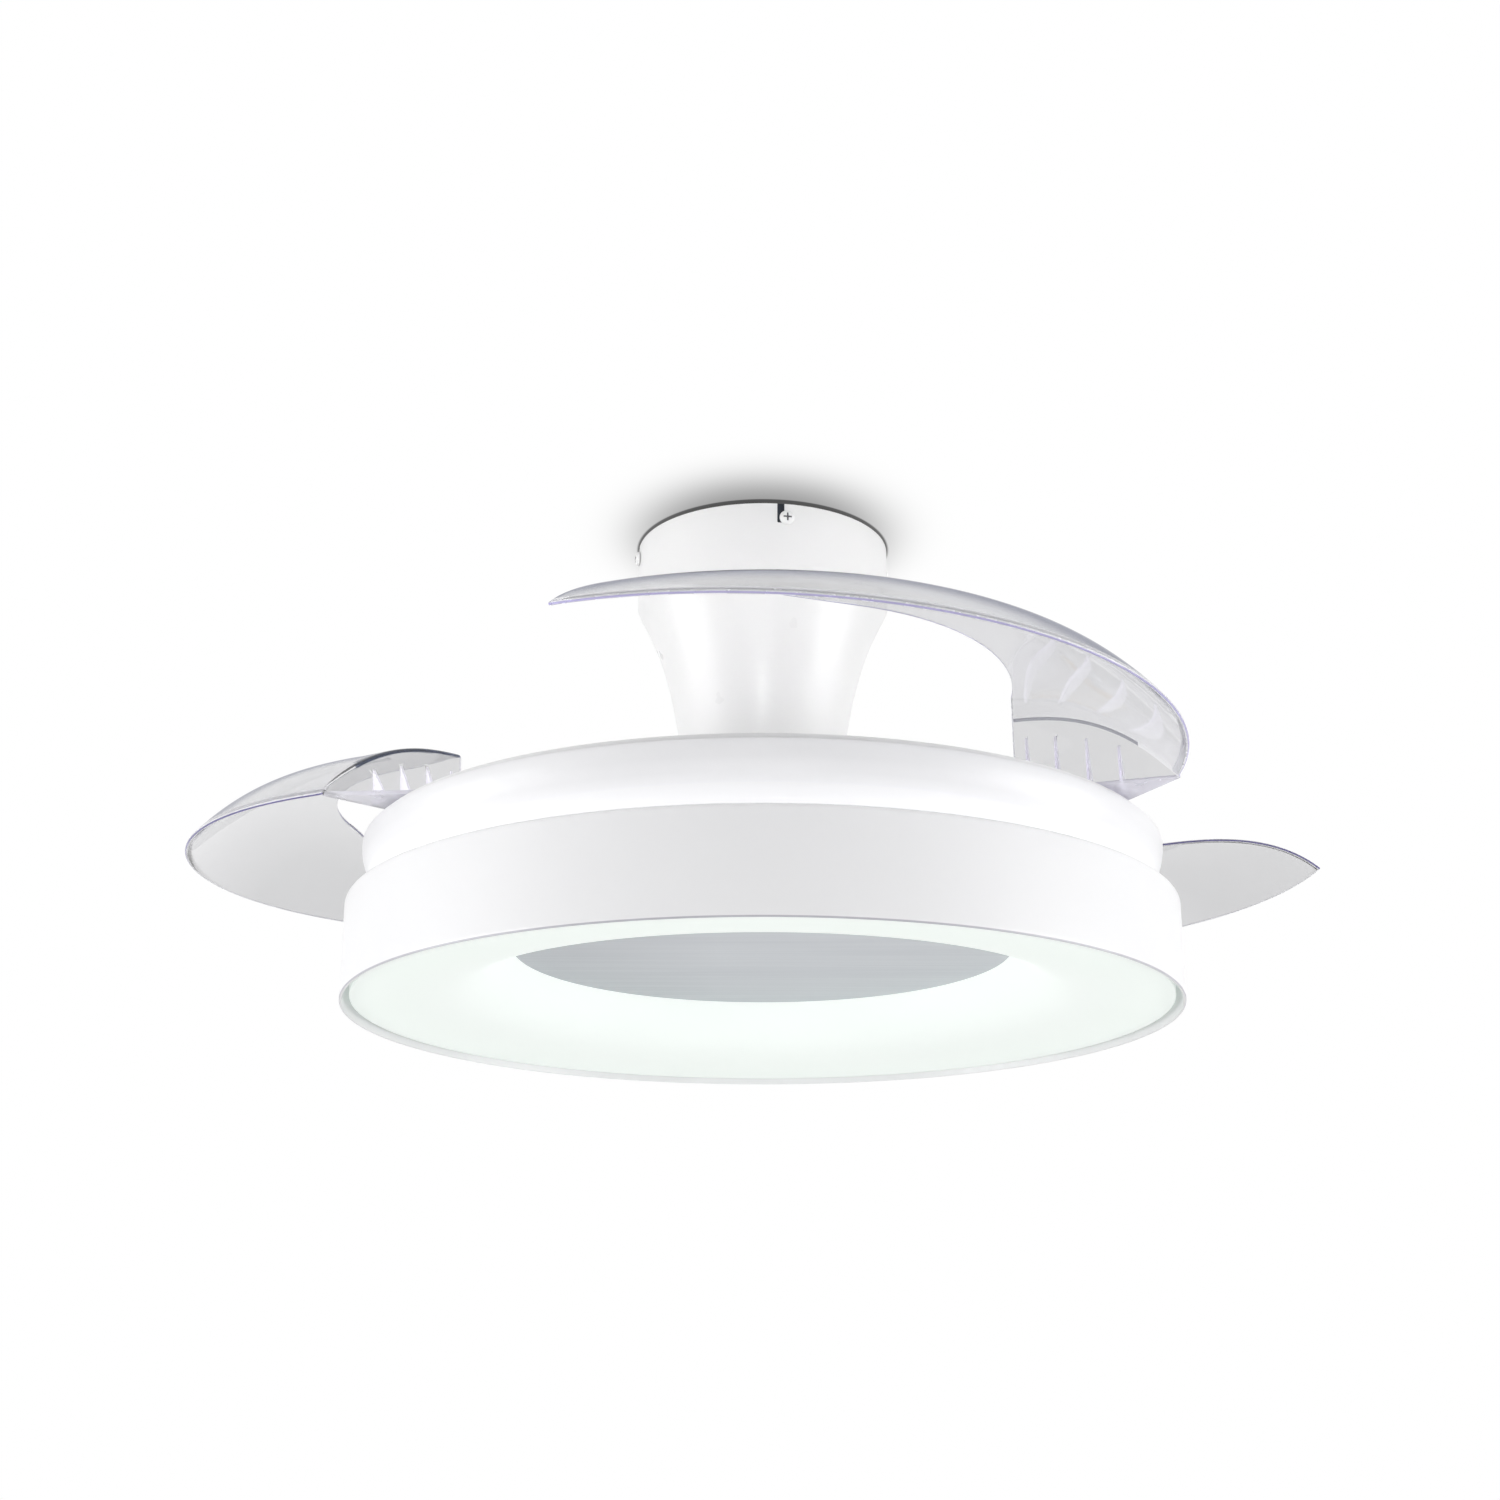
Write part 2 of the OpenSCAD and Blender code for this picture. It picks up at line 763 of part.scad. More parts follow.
module dust_cover() {
    color("white")
    difference() {
        union() {
            translate([0, 0, z_cover])
                cylinder(r = cover_r, h = cover_t);
            ring(cover_r, cover_r - cover_t, z_cover - cover_skirt, cover_skirt + hair);
            for (turn = boss_turns)
                around(blades, boss_circle_r, pivot_turn + turn)
                    translate([0, 0, z_carrier_top])
                        cylinder(r = boss_r, h = z_cover - z_carrier_top + hair);
        }
        translate([0, 0, z_cover - 1])
            cylinder(r = sync_boss_r - 8, h = cover_t + 2);
        around(blades, pivot_r, pivot_turn)
            translate([0, 0, z_cover - 1])
                cylinder(r = shank_r + move_gap, h = cover_t + 2);
        for (turn = boss_turns)
            around(blades, boss_circle_r, pivot_turn + turn)
                translate([0, 0, z_carrier])
                    cylinder(r = 1.6, h = z_cover_top - z_carrier + 1);
    }
}

module cover_screws() {
    color("silver")
    for (turn = boss_turns)
        around(blades, boss_circle_r, pivot_turn + turn)
            translate([0, 0, z_cover_top])
                screw(1.6, z_cover_top - z_carrier, 2.8, 0.9);
}

// Coil springs in the windows of the sync gear, from a post on the carrier to one on the gear
module return_springs() {
    far_turn = window_first + window_sweep - 14;
    near_turn = far_turn - spring_span_deg;
    near = spring_circle_r * [cos(near_turn), sin(near_turn), 0];
    far = spring_circle_r * [cos(far_turn), sin(far_turn), 0];
    run = norm(far - near);
    lay = atan2(far[1] - near[1], far[0] - near[0]);
    eye = post_r + spring_wire + run_fit;
    color("silver")
    for (turn = spring_turns)
        rotate([0, 0, turn])
            translate([near[0], near[1], z_carrier_top + gear_t / 2])
                rotate([0, 0, lay]) {
                    difference() {
                        translate([eye, 0, 0])
                            rotate([0, 90, 0])
                                cylinder(r = spring_r, h = run - 2 * eye);
                        translate([eye - 1, 0, 0])
                            rotate([0, 90, 0])
                                cylinder(r = spring_r - spring_wire, h = run - 2 * eye + 2);
                        for (x = [0, run])
                            translate([x, 0, -spring_r - 1])
                                cylinder(r = post_r + run_fit, h = 2 * spring_r + 2);
                    }
                    for (x = [0, run])
                        translate([x, 0, 0])
                            rotate([0, 0, 0])
                                ring(eye + spring_wire / 2, post_r + run_fit, -spring_wire / 2, spring_wire);
                }
}

// Rubber stops on both sides of one spoke of the sync gear
module stop_bumpers() {
    open_turn = pivot_turn - spoke_deg / 2 - bumper_deg - gap_deg;
    fold_turn = pivot_turn + spoke_deg / 2 + sync_travel + bumper_deg + gap_deg;
    color("dimgray")
    for (turn = [open_turn, fold_turn])
        rotate([0, 0, turn])
            translate([bumper_circle_r, 0, z_carrier_top])
                cylinder(r = bumper_r, h = gear_t - 0.5);
}

// ---------- gears ----------

// Angle of the involute at radius r from base radius b, degrees
function inv_deg(r, b) = let (roll = sqrt(pow(r / b, 2) - 1)) roll * 180 / PI - atan(roll);

// Half the tooth's angle at radius r
function half_tooth(r, teeth, pitch_r, base_r) =
    90 / teeth - tooth_slack / 2 / pitch_r * 180 / PI + inv_deg(pitch_r, base_r) - inv_deg(r, base_r);

// Outline of one tooth that points along +X, its foot sunk into the gear's body
function tooth_points(teeth, sink) =
    let (
        pitch_r = gear_module * teeth / 2,
        base_r = pitch_r * cos(press_deg),
        root_r = pitch_r - tooth_ded,
        low_r = max(base_r, root_r) + hair,
        tip_r = pitch_r + tooth_add,
        steps = 4,
        rise = [for (i = [0 : steps]) low_r + (tip_r - low_r) * i / steps],
        right = [for (r = rise) let (a = -half_tooth(r, teeth, pitch_r, base_r)) r * [cos(a), sin(a)]],
        foot = half_tooth(low_r, teeth, pitch_r, base_r),
        foot_r = root_r - sink
    )
    concat(
        [foot_r * [cos(-foot), sin(-foot)]],
        right,
        [for (i = [steps : -1 : 0]) [right[i][0], -right[i][1]]],
        [foot_r * [cos(foot), sin(foot)]]
    );

module teeth_run(teeth, first, last, shift) {
    for (i = [first : last])
        rotate([0, 0, (i + shift) * 360 / teeth])
            linear_extrude(gear_t)
                polygon(tooth_points(teeth, 1.5));
}

module sync_gear() {
    root_r = sync_pitch_r - tooth_ded;
    color("ivory")
    translate([0, 0, z_gear])
        difference() {
            union() {
                cylinder(r = root_r, h = gear_t);
                for (k = [0 : blades - 1])
                    rotate([0, 0, pivot_turn + k * blade_turn])
                        teeth_run(sync_teeth, -7, 3, 0.5);
            }
            translate([0, 0, -1])
                cylinder(r = sync_boss_r + run_fit, h = gear_t + 2);
            for (k = [0 : blades - 1])
                rotate([0, 0, pivot_turn + k * blade_turn + window_first])
                    difference() {
                        translate([0, 0, -1])
                            rotate_extrude(angle = window_sweep)
                                translate([window_in_r, 0])
                                    square([window_out_r - window_in_r, gear_t + 2]);
                        // post that holds the spring, on a tongue of the rim
                        rotate([0, 0, window_sweep - 14 - spring_span_deg])
                            translate([spring_circle_r, 0, -1]) {
                                cylinder(r = post_r, h = gear_t);
                                translate([0, -post_r, -1])
                                    cube([window_out_r - spring_circle_r + 2, 2 * post_r, 3]);
                            }
                    }
        }
}

// ---------- blades ----------

// Position in an open blade's own arc frame: s runs from the outer edge (0) to the inner edge (1)
function edge_r(angle) = angle <= 0 ? blade_in_r : blade_in_r / cos(angle) + root_flare * angle;

function arc_r(angle, s) = blade_out_r + (edge_r(angle) - blade_out_r) * s;

// Where the straight step ends the skin, as an angle about the arc's centre
function step_deg(s) =
    let (
        a = asin(step_rise / arc_r(0, s)) - step_slant,
        b = asin(step_rise / arc_r(a, s)) - step_slant,
        c = asin(step_rise / arc_r(b, s)) - step_slant
    )
    asin(step_rise / arc_r(c, s)) - step_slant;

// Where the rounded tip ends the blade
function tip_deg(s) = -(blade_sweep - tip_sweep) - tip_sweep * sqrt(1 - pow(s, 1.7));

function crown(u) = crown_root - (crown_root - crown_tip) * u * u;

function skin_z(angle, s) =
    let (u = max(0, -angle / blade_sweep))
    z_pad + pad_t / 2 + edge_climb * u + crown(u) * (1 - pow(1 - s, crown_power));

function arc_point(angle, s, z) =
    [arc_r(angle, s) * cos(angle), arc_r(angle, s) * sin(angle) - blade_offset, z];

// Position beside the step, the given distance from it on the hub's side
function beside_step(s, distance, z) =
    arc_point(step_deg(s), s, z) + distance * [sin(step_slant), cos(step_slant), 0];

// Rows of the sheet: the first two are the step's wall, the rest the skin
wall_lean = 3;
skin_rows = 36;
skin_cols = 14;

function sheet_point(row, s) =
    let (a0 = step_deg(s), a1 = tip_deg(s))
    row == 0
        ? beside_step(s, wall_lean, z_pad + pad_t / 2)
        : let (t = (row - 1) / skin_rows, a = a0 + (a1 - a0) * t)
            arc_point(a, s, skin_z(a, s));

function col_s(col) = (col / skin_cols + sin(90 * col / skin_cols)) / 2;

function span_normal(r0, r1, col) =
    let (
        c0 = max(col - 1, 0),
        c1 = min(col + 1, skin_cols),
        mid = max(r0, min(r1, 1)),
        along = sheet_point(r1, col_s(col)) - sheet_point(r0, col_s(col)),
        across = sheet_point(mid, col_s(c1)) - sheet_point(mid, col_s(c0)),
        n = cross(across, along)
    )
    n / norm(n);

// Offset from the sheet's middle to its upper face, mitred where the wall meets the skin
function sheet_offset(row, col) =
    row == 0 ? span_normal(0, 1, col)
    : row == 1
        ? let (a = span_normal(0, 1, col), b = span_normal(1, 2, col)) (a + b) / (1 + a * b)
        : span_normal(row - 1, min(row + 1, skin_rows + 1), col);

module blade_sheet() {
    rows = skin_rows + 1;
    cols = skin_cols + 1;
    count = (rows + 1) * cols;
    upper = [for (r = [0 : rows], c = [0 : skin_cols])
        sheet_point(r, col_s(c)) + sheet_offset(r, c) * blade_t / 2];
    lower = [for (r = [0 : rows], c = [0 : skin_cols])
        sheet_point(r, col_s(c)) - sheet_offset(r, c) * blade_t / 2];
    top_faces = [for (r = [0 : rows - 1], c = [0 : skin_cols - 1])
        let (a = r * cols + c, b = a + 1, d = a + cols, e = d + 1)
        each [[a, e, b], [a, d, e]]];
    low_faces = [for (f = top_faces) [f[0] + count, f[2] + count, f[1] + count]];
    edge = concat(
        [for (c = [0 : skin_cols]) c],
        [for (r = [1 : rows]) r * cols + skin_cols],
        [for (c = [skin_cols - 1 : -1 : 0]) rows * cols + c],
        [for (r = [rows - 1 : -1 : 1]) r * cols]
    );
    side_faces = [for (i = [0 : len(edge) - 1])
        let (a = edge[i], b = edge[(i + 1) % len(edge)])
        each [[a, b, a + count], [b, b + count, a + count]]];
    polyhedron(points = concat(upper, lower), faces = concat(top_faces, low_faces, side_faces));
}

// Where the pad's side from the corner p meets the round of the pad about the hub
function pad_side(p, side) =
    let (
        reach = [p[0] - pivot_x, p[1] - pivot_y],
        turn = atan2(reach[1], reach[0]) + side * acos(pad_r / norm(reach))
    )
    [pivot_x + 0.9 * pad_r * cos(turn), pivot_y + 0.9 * pad_r * sin(turn)];

// Plan of the root pad, from the hub out to the step
module pad_plan() {
    inner = beside_step(1, wall_lean - blade_t / 2, 0);
    outer = beside_step(0, wall_lean - blade_t / 2, 0);
    difference() {
        union() {
            polygon([
                [inner[0], inner[1]], [outer[0], outer[1]],
                pad_side(outer, 1), pad_side(inner, -1)
            ]);
            translate([pivot_x, pivot_y])
                circle(r = pad_r);
        }
        translate([pivot_x, pivot_y])
            circle(r = spigot_r + run_fit);
    }
}

// Gussets that stand on the pad and brace the step's wall
module step_ribs() {
    for (i = [0 : rib_count - 1]) {
        s = 0.91 - 0.76 * i / rib_count;
        rise = (skin_z(0, s) - z_pad_top) * 0.75;
        lean = wall_lean * 0.75;
        translate(beside_step(s, wall_lean, z_pad_top - hair))
            rotate([0, 0, -step_slant])
                translate([-rib_t / 2, 0, 0])
                    rotate([90, 0, 90])
                        linear_extrude(rib_t)
                            polygon([[0, 0], [17, 0], [0.6 - lean, rise], [-lean, rise]]);
    }
}

module blade_moulding() {
    difference() {
        union() {
            blade_sheet();
            translate([0, 0, z_pad])
                linear_extrude(pad_t)
                    pad_plan();
            step_ribs();
        }
        translate([pivot_x, pivot_y, z_pad - 1])
            around(hub_bolts, hub_bolt_circle_r, 90)
                cylinder(r = hub_screw_r + 0.2, h = pad_t + 2);
    }
}

module blade(k) {
    color("lightsteelblue", 0.5)
    rotate([0, 0, -k * blade_turn])
        blade_moulding();
}

module blade_hub(k) {
    root_r = pinion_pitch_r - tooth_ded;
    color("ivory")
    rotate([0, 0, -k * blade_turn])
        translate([pivot_x, pivot_y, 0])
            difference() {
                union() {
                    translate([0, 0, z_gear])
                        cylinder(r = root_r, h = gear_t);
                    translate([0, 0, z_gear])
                        rotate([0, 0, pivot_turn + 180])
                            teeth_run(pinion_teeth, -3, 7, 0);
                    translate([0, 0, z_gear])
                        cylinder(r = shank_r, h = z_pad - z_gear);
                    translate([0, 0, z_pad - hair])
                        cylinder(r = spigot_r, h = z_hub_top - z_pad + hair);
                }
                translate([0, 0, z_gear - 1])
                    cylinder(r = bush_r, h = z_hub_top - z_gear + 2);
                translate([0, 0, z_pad - 8])
                    around(hub_bolts, hub_bolt_circle_r, 90)
                        cylinder(r = hub_screw_r, h = 9);
            }
}

module blade_bush(k) {
    color("goldenrod")
    rotate([0, 0, -k * blade_turn])
        translate([pivot_x, pivot_y, 0])
            difference() {
                union() {
                    translate([0, 0, z_gear])
                        cylinder(r = bush_r, h = z_bush_top - z_gear);
                    translate([0, 0, z_hub_top])
                        cylinder(r = bush_flange_r, h = bush_flange_t);
                }
                translate([0, 0, z_gear - 1])
                    cylinder(r = pin_r + run_fit, h = z_bush_top - z_gear + 2);
            }
}

module blade_screws(k) {
    color("silver")
    rotate([0, 0, -k * blade_turn])
        translate([pivot_x, pivot_y, z_pad_top])
            around(hub_bolts, hub_bolt_circle_r, 90)
                screw(hub_screw_r, pad_t + 7, 3.2, 2);
}

// ---------- drum and light ----------

// The drum's side turns in by a quarter of an ellipse from the lip to the floor
drum_side_h = z_rim - drum_lip_h - z_pan_top;

function drum_side(a) = [drum_r - drum_turn_in * (1 - cos(a)), z_pan_top + drum_side_h * (1 - sin(a))];

module drum() {
    steps = 12;
    outer = [for (i = [0 : steps]) drum_side(90 * i / steps)];
    inner = [for (i = [steps : -1 : 0])
        let (a = 90 * i / steps)
        [
            drum_r - drum_wall - (drum_turn_in - drum_wall) * (1 - cos(a)),
            z_floor + (drum_side_h - drum_wall) * (1 - sin(a))
        ]];
    color("white")
    rotate_extrude()
        polygon(concat(
            [[drum_r, z_rim - 0.6]],
            outer,
            [[shaft_r + seat_gap, z_pan_top], [shaft_r + seat_gap, z_floor]],
            inner,
            [[drum_r - drum_wall, z_rim], [drum_r - 0.6, z_rim]]
        ));
}

module light_ring() {
    in_r = ring_r - ring_wall;
    top_in_r = drum_side(asin(1 - (z_ring_top - z_pan_top) / drum_side_h))[0] + 2;
    shoulder = 3;
    steps = 5;
    corner = [for (i = [0 : steps])
        let (a = 90 * i / steps)
        [ring_r - shoulder + shoulder * cos(a), z_ring_top - shoulder + shoulder * sin(a)]];
    color("white")
    difference() {
        union() {
            rotate_extrude()
                polygon(concat(
                    [[in_r, z_ring], [ring_r, z_ring]],
                    corner,
                    [[top_in_r, z_ring_top], [top_in_r, z_ring_top - ring_wall]],
                    [[in_r, z_ring_top - ring_wall]]
                ));
            around(ring_screw_count, ring_boss_circle_r)
                translate([0, 0, z_pan_top])
                    cylinder(r = ring_boss_r, h = z_ring_top - ring_wall - z_pan_top + hair);
            // ledges that the diffuser's lugs turn on to
            around(locks, 0, 30)
                translate([0, 0, z_lock])
                    rotate_extrude(angle = lock_run)
                        translate([diffuser_r + seat_gap, 0])
                            square([in_r - diffuser_r - seat_gap + 0.5, lock_t]);
        }
        around(ring_screw_count, ring_boss_circle_r)
            translate([0, 0, z_pan_top - 1])
                cylinder(r = 1.6, h = z_ring_top - ring_wall - z_pan_top);
    }
}

module light_pan() {
    pan_r = ring_r - ring_wall - seat_gap;
    color("gainsboro")
    difference() {
        translate([0, 0, z_pan])
            cylinder(r = pan_r, h = pan_t);
        translate([0, 0, z_pan - 1])
            cylinder(r = shaft_r + seat_gap, h = pan_t + 2);
        around(ring_screw_count, ring_boss_circle_r)
            translate([0, 0, z_pan - 1])
                cylinder(r = 1.8, h = pan_t + 2);
        around(spacers, spacer_circle_r, 45)
            translate([0, 0, z_pan - 1])
                cylinder(r = 2, h = pan_t + 2);
    }
}

module ring_screws() {
    color("silver")
    around(ring_screw_count, ring_boss_circle_r)
        translate([0, 0, z_pan])
            rotate([180, 0, 0])
                screw(1.6, pan_t + 3, 3, 1.8);
}

module led_board() {
    color("white")
    ring(led_out_r, led_in_r, z_pan - led_t, led_t);
}

module led_chips() {
    chip = 5;
    chip_t = 0.9;
    rows = [led_in_r + 14, (led_in_r + led_out_r) / 2, led_out_r - 14];
    color("lightyellow")
    for (row = [0 : len(rows) - 1])
        around(led_count, rows[row], row * 180 / led_count)
            translate([-chip / 2, -chip / 2, z_pan - led_t - chip_t])
                cube([chip, chip, chip_t]);
}

module led_driver() {
    color("white")
    translate([driver_x - driver_w / 2, -driver_l / 2, z_pan - driver_h])
        linear_extrude(driver_h)
            difference() {
                square([driver_w, driver_l]);
                for (x = [0, driver_w], y = [0, driver_l])
                    translate([x, y])
                        rotate([0, 0, 45])
                            square(5, center = true);
            }
}

module centre_plate() {
    color("silver")
    difference() {
        translate([0, 0, z_throat])
            cylinder(r = throat_r + diffuser_t + 6, h = plate_t);
        around(spacers, spacer_circle_r, 45)
            translate([0, 0, z_throat + plate_t / 2])
                cylinder(r = 2, h = plate_t);
    }
}

module plate_spacers() {
    color("silver")
    around(spacers, spacer_circle_r, 45)
        union() {
            translate([0, 0, z_throat + plate_t])
                cylinder(r = spacer_r, h = z_pan - z_throat - plate_t);
            translate([0, 0, z_throat + plate_t / 2])
                cylinder(r = 2, h = z_pan_top - z_throat - plate_t / 2);
        }
}

// Height of the trumpet's face over its rim, at a share of the way in
function trumpet(share) = (throat_h - rim_setback) * pow(share, trumpet_power);

module diffuser() {
    steps = 18;
    run = diffuser_r - throat_r;
    face = [for (i = [0 : steps])
        let (s = i / steps)
        [diffuser_r - run * s, z_ring + rim_setback + trumpet(s)]];
    back = [for (i = [steps : -1 : 2])
        let (s = i / steps)
        [diffuser_r - run * s + diffuser_t * min(1, 1.2 * s), min(z_throat, z_ring + rim_setback + trumpet(s) + diffuser_t)]];
    lug_run = lock_run - 2;
    skirt_top = z_pan - 4;
    color("white")
    union() {
        rotate_extrude()
            polygon(concat(
                face,
                back,
                [[diffuser_r - skirt_t, z_ring + rim_setback + diffuser_t]],
                [[diffuser_r - skirt_t, skirt_top], [diffuser_r, skirt_top]]
            ));
        // lugs that turn on to the ledges in the light ring
        around(locks, 0, 31)
            translate([0, 0, z_lock + lock_t])
                rotate_extrude(angle = lug_run)
                    translate([diffuser_r - 0.5, 0])
                        square([ring_r - ring_wall - seat_gap - diffuser_r + 0.5, lock_t]);
    }
}

// ---------- the pieces ----------

ceiling_bracket();
canopy();
canopy_screws();
hollow_shaft();
flange_screws();
terminal_block();
receiver_box();
wiring_loom();
shaft_nuts();
stator_hub();
stator_core();
stator_windings();
bearing_inner_races();
drum();
light_ring();
light_pan();
ring_screws();
led_board();
led_chips();
led_driver();
centre_plate();
plate_spacers();
diffuser();
bearing_outer_races();
bearing_balls();
lower_bell();
upper_bell();
bell_screws();
magnets();
carrier_plate();
carrier_screws();
pivot_pins();
pivot_retainers();
dust_cover();
cover_screws();
return_springs();
stop_bumpers();
sync_gear();
blade(0);  // blade_1
blade(1);  // blade_2
blade(2);  // blade_3
blade_hub(0);  // blade_hub_1
blade_hub(1);  // blade_hub_2
blade_hub(2);  // blade_hub_3
blade_bush(0);  // blade_bush_1
blade_bush(1);  // blade_bush_2
blade_bush(2);  // blade_bush_3
blade_screws(0);  // blade_screws_1
blade_screws(1);  // blade_screws_2
blade_screws(2);  // blade_screws_3
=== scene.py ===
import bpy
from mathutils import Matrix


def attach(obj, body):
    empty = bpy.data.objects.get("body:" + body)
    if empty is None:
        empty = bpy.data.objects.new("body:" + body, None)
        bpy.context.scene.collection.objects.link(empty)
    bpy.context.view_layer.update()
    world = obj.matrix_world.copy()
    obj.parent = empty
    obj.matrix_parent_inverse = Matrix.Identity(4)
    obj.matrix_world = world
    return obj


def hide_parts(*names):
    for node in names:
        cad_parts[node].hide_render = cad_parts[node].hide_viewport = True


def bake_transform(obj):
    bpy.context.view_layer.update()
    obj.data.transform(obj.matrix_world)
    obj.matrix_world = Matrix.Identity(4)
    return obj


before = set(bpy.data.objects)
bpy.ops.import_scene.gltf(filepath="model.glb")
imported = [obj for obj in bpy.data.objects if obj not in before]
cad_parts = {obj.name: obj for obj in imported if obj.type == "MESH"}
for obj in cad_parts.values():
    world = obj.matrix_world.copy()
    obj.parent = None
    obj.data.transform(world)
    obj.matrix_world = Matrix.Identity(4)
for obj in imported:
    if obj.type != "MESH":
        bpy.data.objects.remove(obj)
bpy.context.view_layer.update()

import math
import bmesh
import bpy
from mathutils import Matrix, Vector

MM = 0.001
scene = bpy.context.scene
scene.view_settings.view_transform = "Standard"

# ---- sizes, in millimetres, as in the construction

Z_RING = -348.0
Z_RING_TOP = Z_RING + 68.5
Z_RIM = Z_RING_TOP + 42.7
Z_PAN = Z_RING + 60.0
Z_PAN_TOP = Z_PAN + 2.0
Z_FLOOR = Z_PAN_TOP + 2.0
Z_THROAT = Z_RING + 45.0
Z_COVER_TOP = Z_RIM + 4.3
Z_COVER = Z_COVER_TOP - 1.5
Z_GEAR_TOP = Z_COVER - 0.7
Z_GEAR = Z_GEAR_TOP - 6.0
Z_CARRIER_TOP = Z_GEAR - 0.3
Z_CARRIER = Z_CARRIER_TOP - 3.0
Z_MOTOR = Z_CARRIER - 32.0
Z_MID = Z_MOTOR + 16.0
Z_PAD = Z_COVER_TOP + 2.0
PAD_T = 3.0
Z_PAD_TOP = Z_PAD + PAD_T
Z_HUB_TOP = Z_PAD_TOP + 2.0
Z_BUSH_TOP = Z_HUB_TOP + 1.5
Z_PIN_TOP = Z_BUSH_TOP + 0.3
Z_NECK = Z_COVER_TOP + 3.5

CANOPY_R, CANOPY_IN_R, CANOPY_BAND = 92.0, 90.5, 47.0
FLARE_R, FLARE_FALL = 50.0, 72.4
FIRST_SLOT = -79.3
DRUM_R, DRUM_IN_R = 280.3, 278.3
RING_R, RING_IN_R, RING_SCREWS_R = 290.0, 288.0, 284.5
LIGHT_R, THROAT_R = 283.5, 175.0
HUB_R, HUB_SCREWS_R = 30, 15.8

OFFSET = 187.9
PIVOT_R = 2.5 * (144 + 27) / 2
PIVOT_X = math.sqrt(PIVOT_R ** 2 - (OFFSET / 2) ** 2)
PIVOT_Y = -OFFSET / 2
PIVOT_TURN = math.degrees(math.atan2(PIVOT_Y, PIVOT_X))

# ---- materials


def nodes_of(name):
    mat = bpy.data.materials.new(name)
    mat.use_nodes = True
    tree = mat.node_tree
    return mat, tree, tree.nodes["Principled BSDF"]


def preset(node, values):
    """Sets a node's inputs by name."""
    for name, value in values.items():
        node.inputs[name].default_value = value


def mapped(tree, values):
    """The object's own coordinates, in metres, after a mapping."""
    coord = tree.nodes.new("ShaderNodeTexCoord")
    mapping = tree.nodes.new("ShaderNodeMapping")
    preset(mapping, values)
    tree.links.new(coord.outputs["Object"], mapping.inputs["Vector"])
    return mapping.outputs["Vector"]


def axis_of(tree, axis, turn=0.0):
    """The object's own X, Y or Z, in metres, after a turn about Z in degrees."""
    split = tree.nodes.new("ShaderNodeSeparateXYZ")
    tree.links.new(mapped(tree, {"Rotation": (0, 0, math.radians(turn))}), split.inputs[0])
    return split.outputs[axis]


def plan_length(tree, scale=(1, 1, 0), place=(0, 0, 0)):
    """Distance from the part's axis, in a plan that may be stretched and moved."""
    size = tree.nodes.new("ShaderNodeVectorMath")
    size.operation = "LENGTH"
    tree.links.new(mapped(tree, {"Scale": scale, "Location": place}), size.inputs[0])
    return size.outputs["Value"]


def noise(tree, scale, detail=3.0, stretch=(1, 1, 1)):
    tex = tree.nodes.new("ShaderNodeTexNoise")
    preset(tex, {"Scale": scale, "Detail": detail})
    tree.links.new(mapped(tree, {"Scale": stretch}), tex.inputs["Vector"])
    return tex.outputs["Fac"]


def ramp(tree, fac, stops):
    node = tree.nodes.new("ShaderNodeValToRGB")
    elements = node.color_ramp.elements
    elements[0].position, elements[0].color = stops[0][0], (*stops[0][1], 1)
    elements[1].position, elements[1].color = stops[-1][0], (*stops[-1][1], 1)
    for pos, col in stops[1:-1]:
        e = elements.new(pos)
        e.color = (*col, 1)
    tree.links.new(fac, node.inputs["Fac"])
    return node.outputs["Color"]


def spread(tree, fac, low, high, from_low=0.3, from_high=0.7):
    node = tree.nodes.new("ShaderNodeMapRange")
    preset(node, {"From Min": from_low, "From Max": from_high, "To Min": low, "To Max": high})
    tree.links.new(fac, node.inputs["Value"])
    return node.outputs["Result"]


def bumped(tree, shader, height, strength, distance=0.001, after=None):
    node = tree.nodes.new("ShaderNodeBump")
    preset(node, {"Strength": strength, "Distance": distance})
    tree.links.new(height, node.inputs["Height"])
    if after is not None:
        tree.links.new(after, node.inputs["Normal"])
    tree.links.new(node.outputs["Normal"], shader.inputs["Normal"])
    return node.outputs["Normal"]


def shade(c, k):
    return tuple(min(1.0, v * k) for v in c)


def surface(name, color, rough, metal=0.0, vary=0.03, tone_scale=9, grain=900, bump=0.04,
            depth=0.0003, rough_vary=0.06, stretch=(1, 1, 1), coat=0.0, specular=0.5, sss=0.0):
    """A finish with slow colour drift, fine grain in the height and a roughness that wanders."""
    mat, tree, shader = nodes_of(name)
    drift = noise(tree, tone_scale, 4, stretch)
    tree.links.new(ramp(tree, drift, [(0.3, shade(color, 1 - vary)), (0.7, shade(color, 1 + vary))]),
                   shader.inputs["Base Color"])
    wander = noise(tree, tone_scale * 6, 3, stretch)
    tree.links.new(spread(tree, wander, rough - rough_vary, rough + rough_vary),
                   shader.inputs["Roughness"])
    bumped(tree, shader, noise(tree, grain, 2, stretch), bump, depth)
    preset(shader, {"Metallic": metal, "Coat Weight": coat, "Coat Roughness": 0.15,
                    "Specular IOR Level": specular})
    if sss:
        preset(shader, {"Subsurface Weight": sss, "Subsurface Radius": (0.004, 0.004, 0.004)})
    mat.diffuse_color = (*color, 1)
    return mat


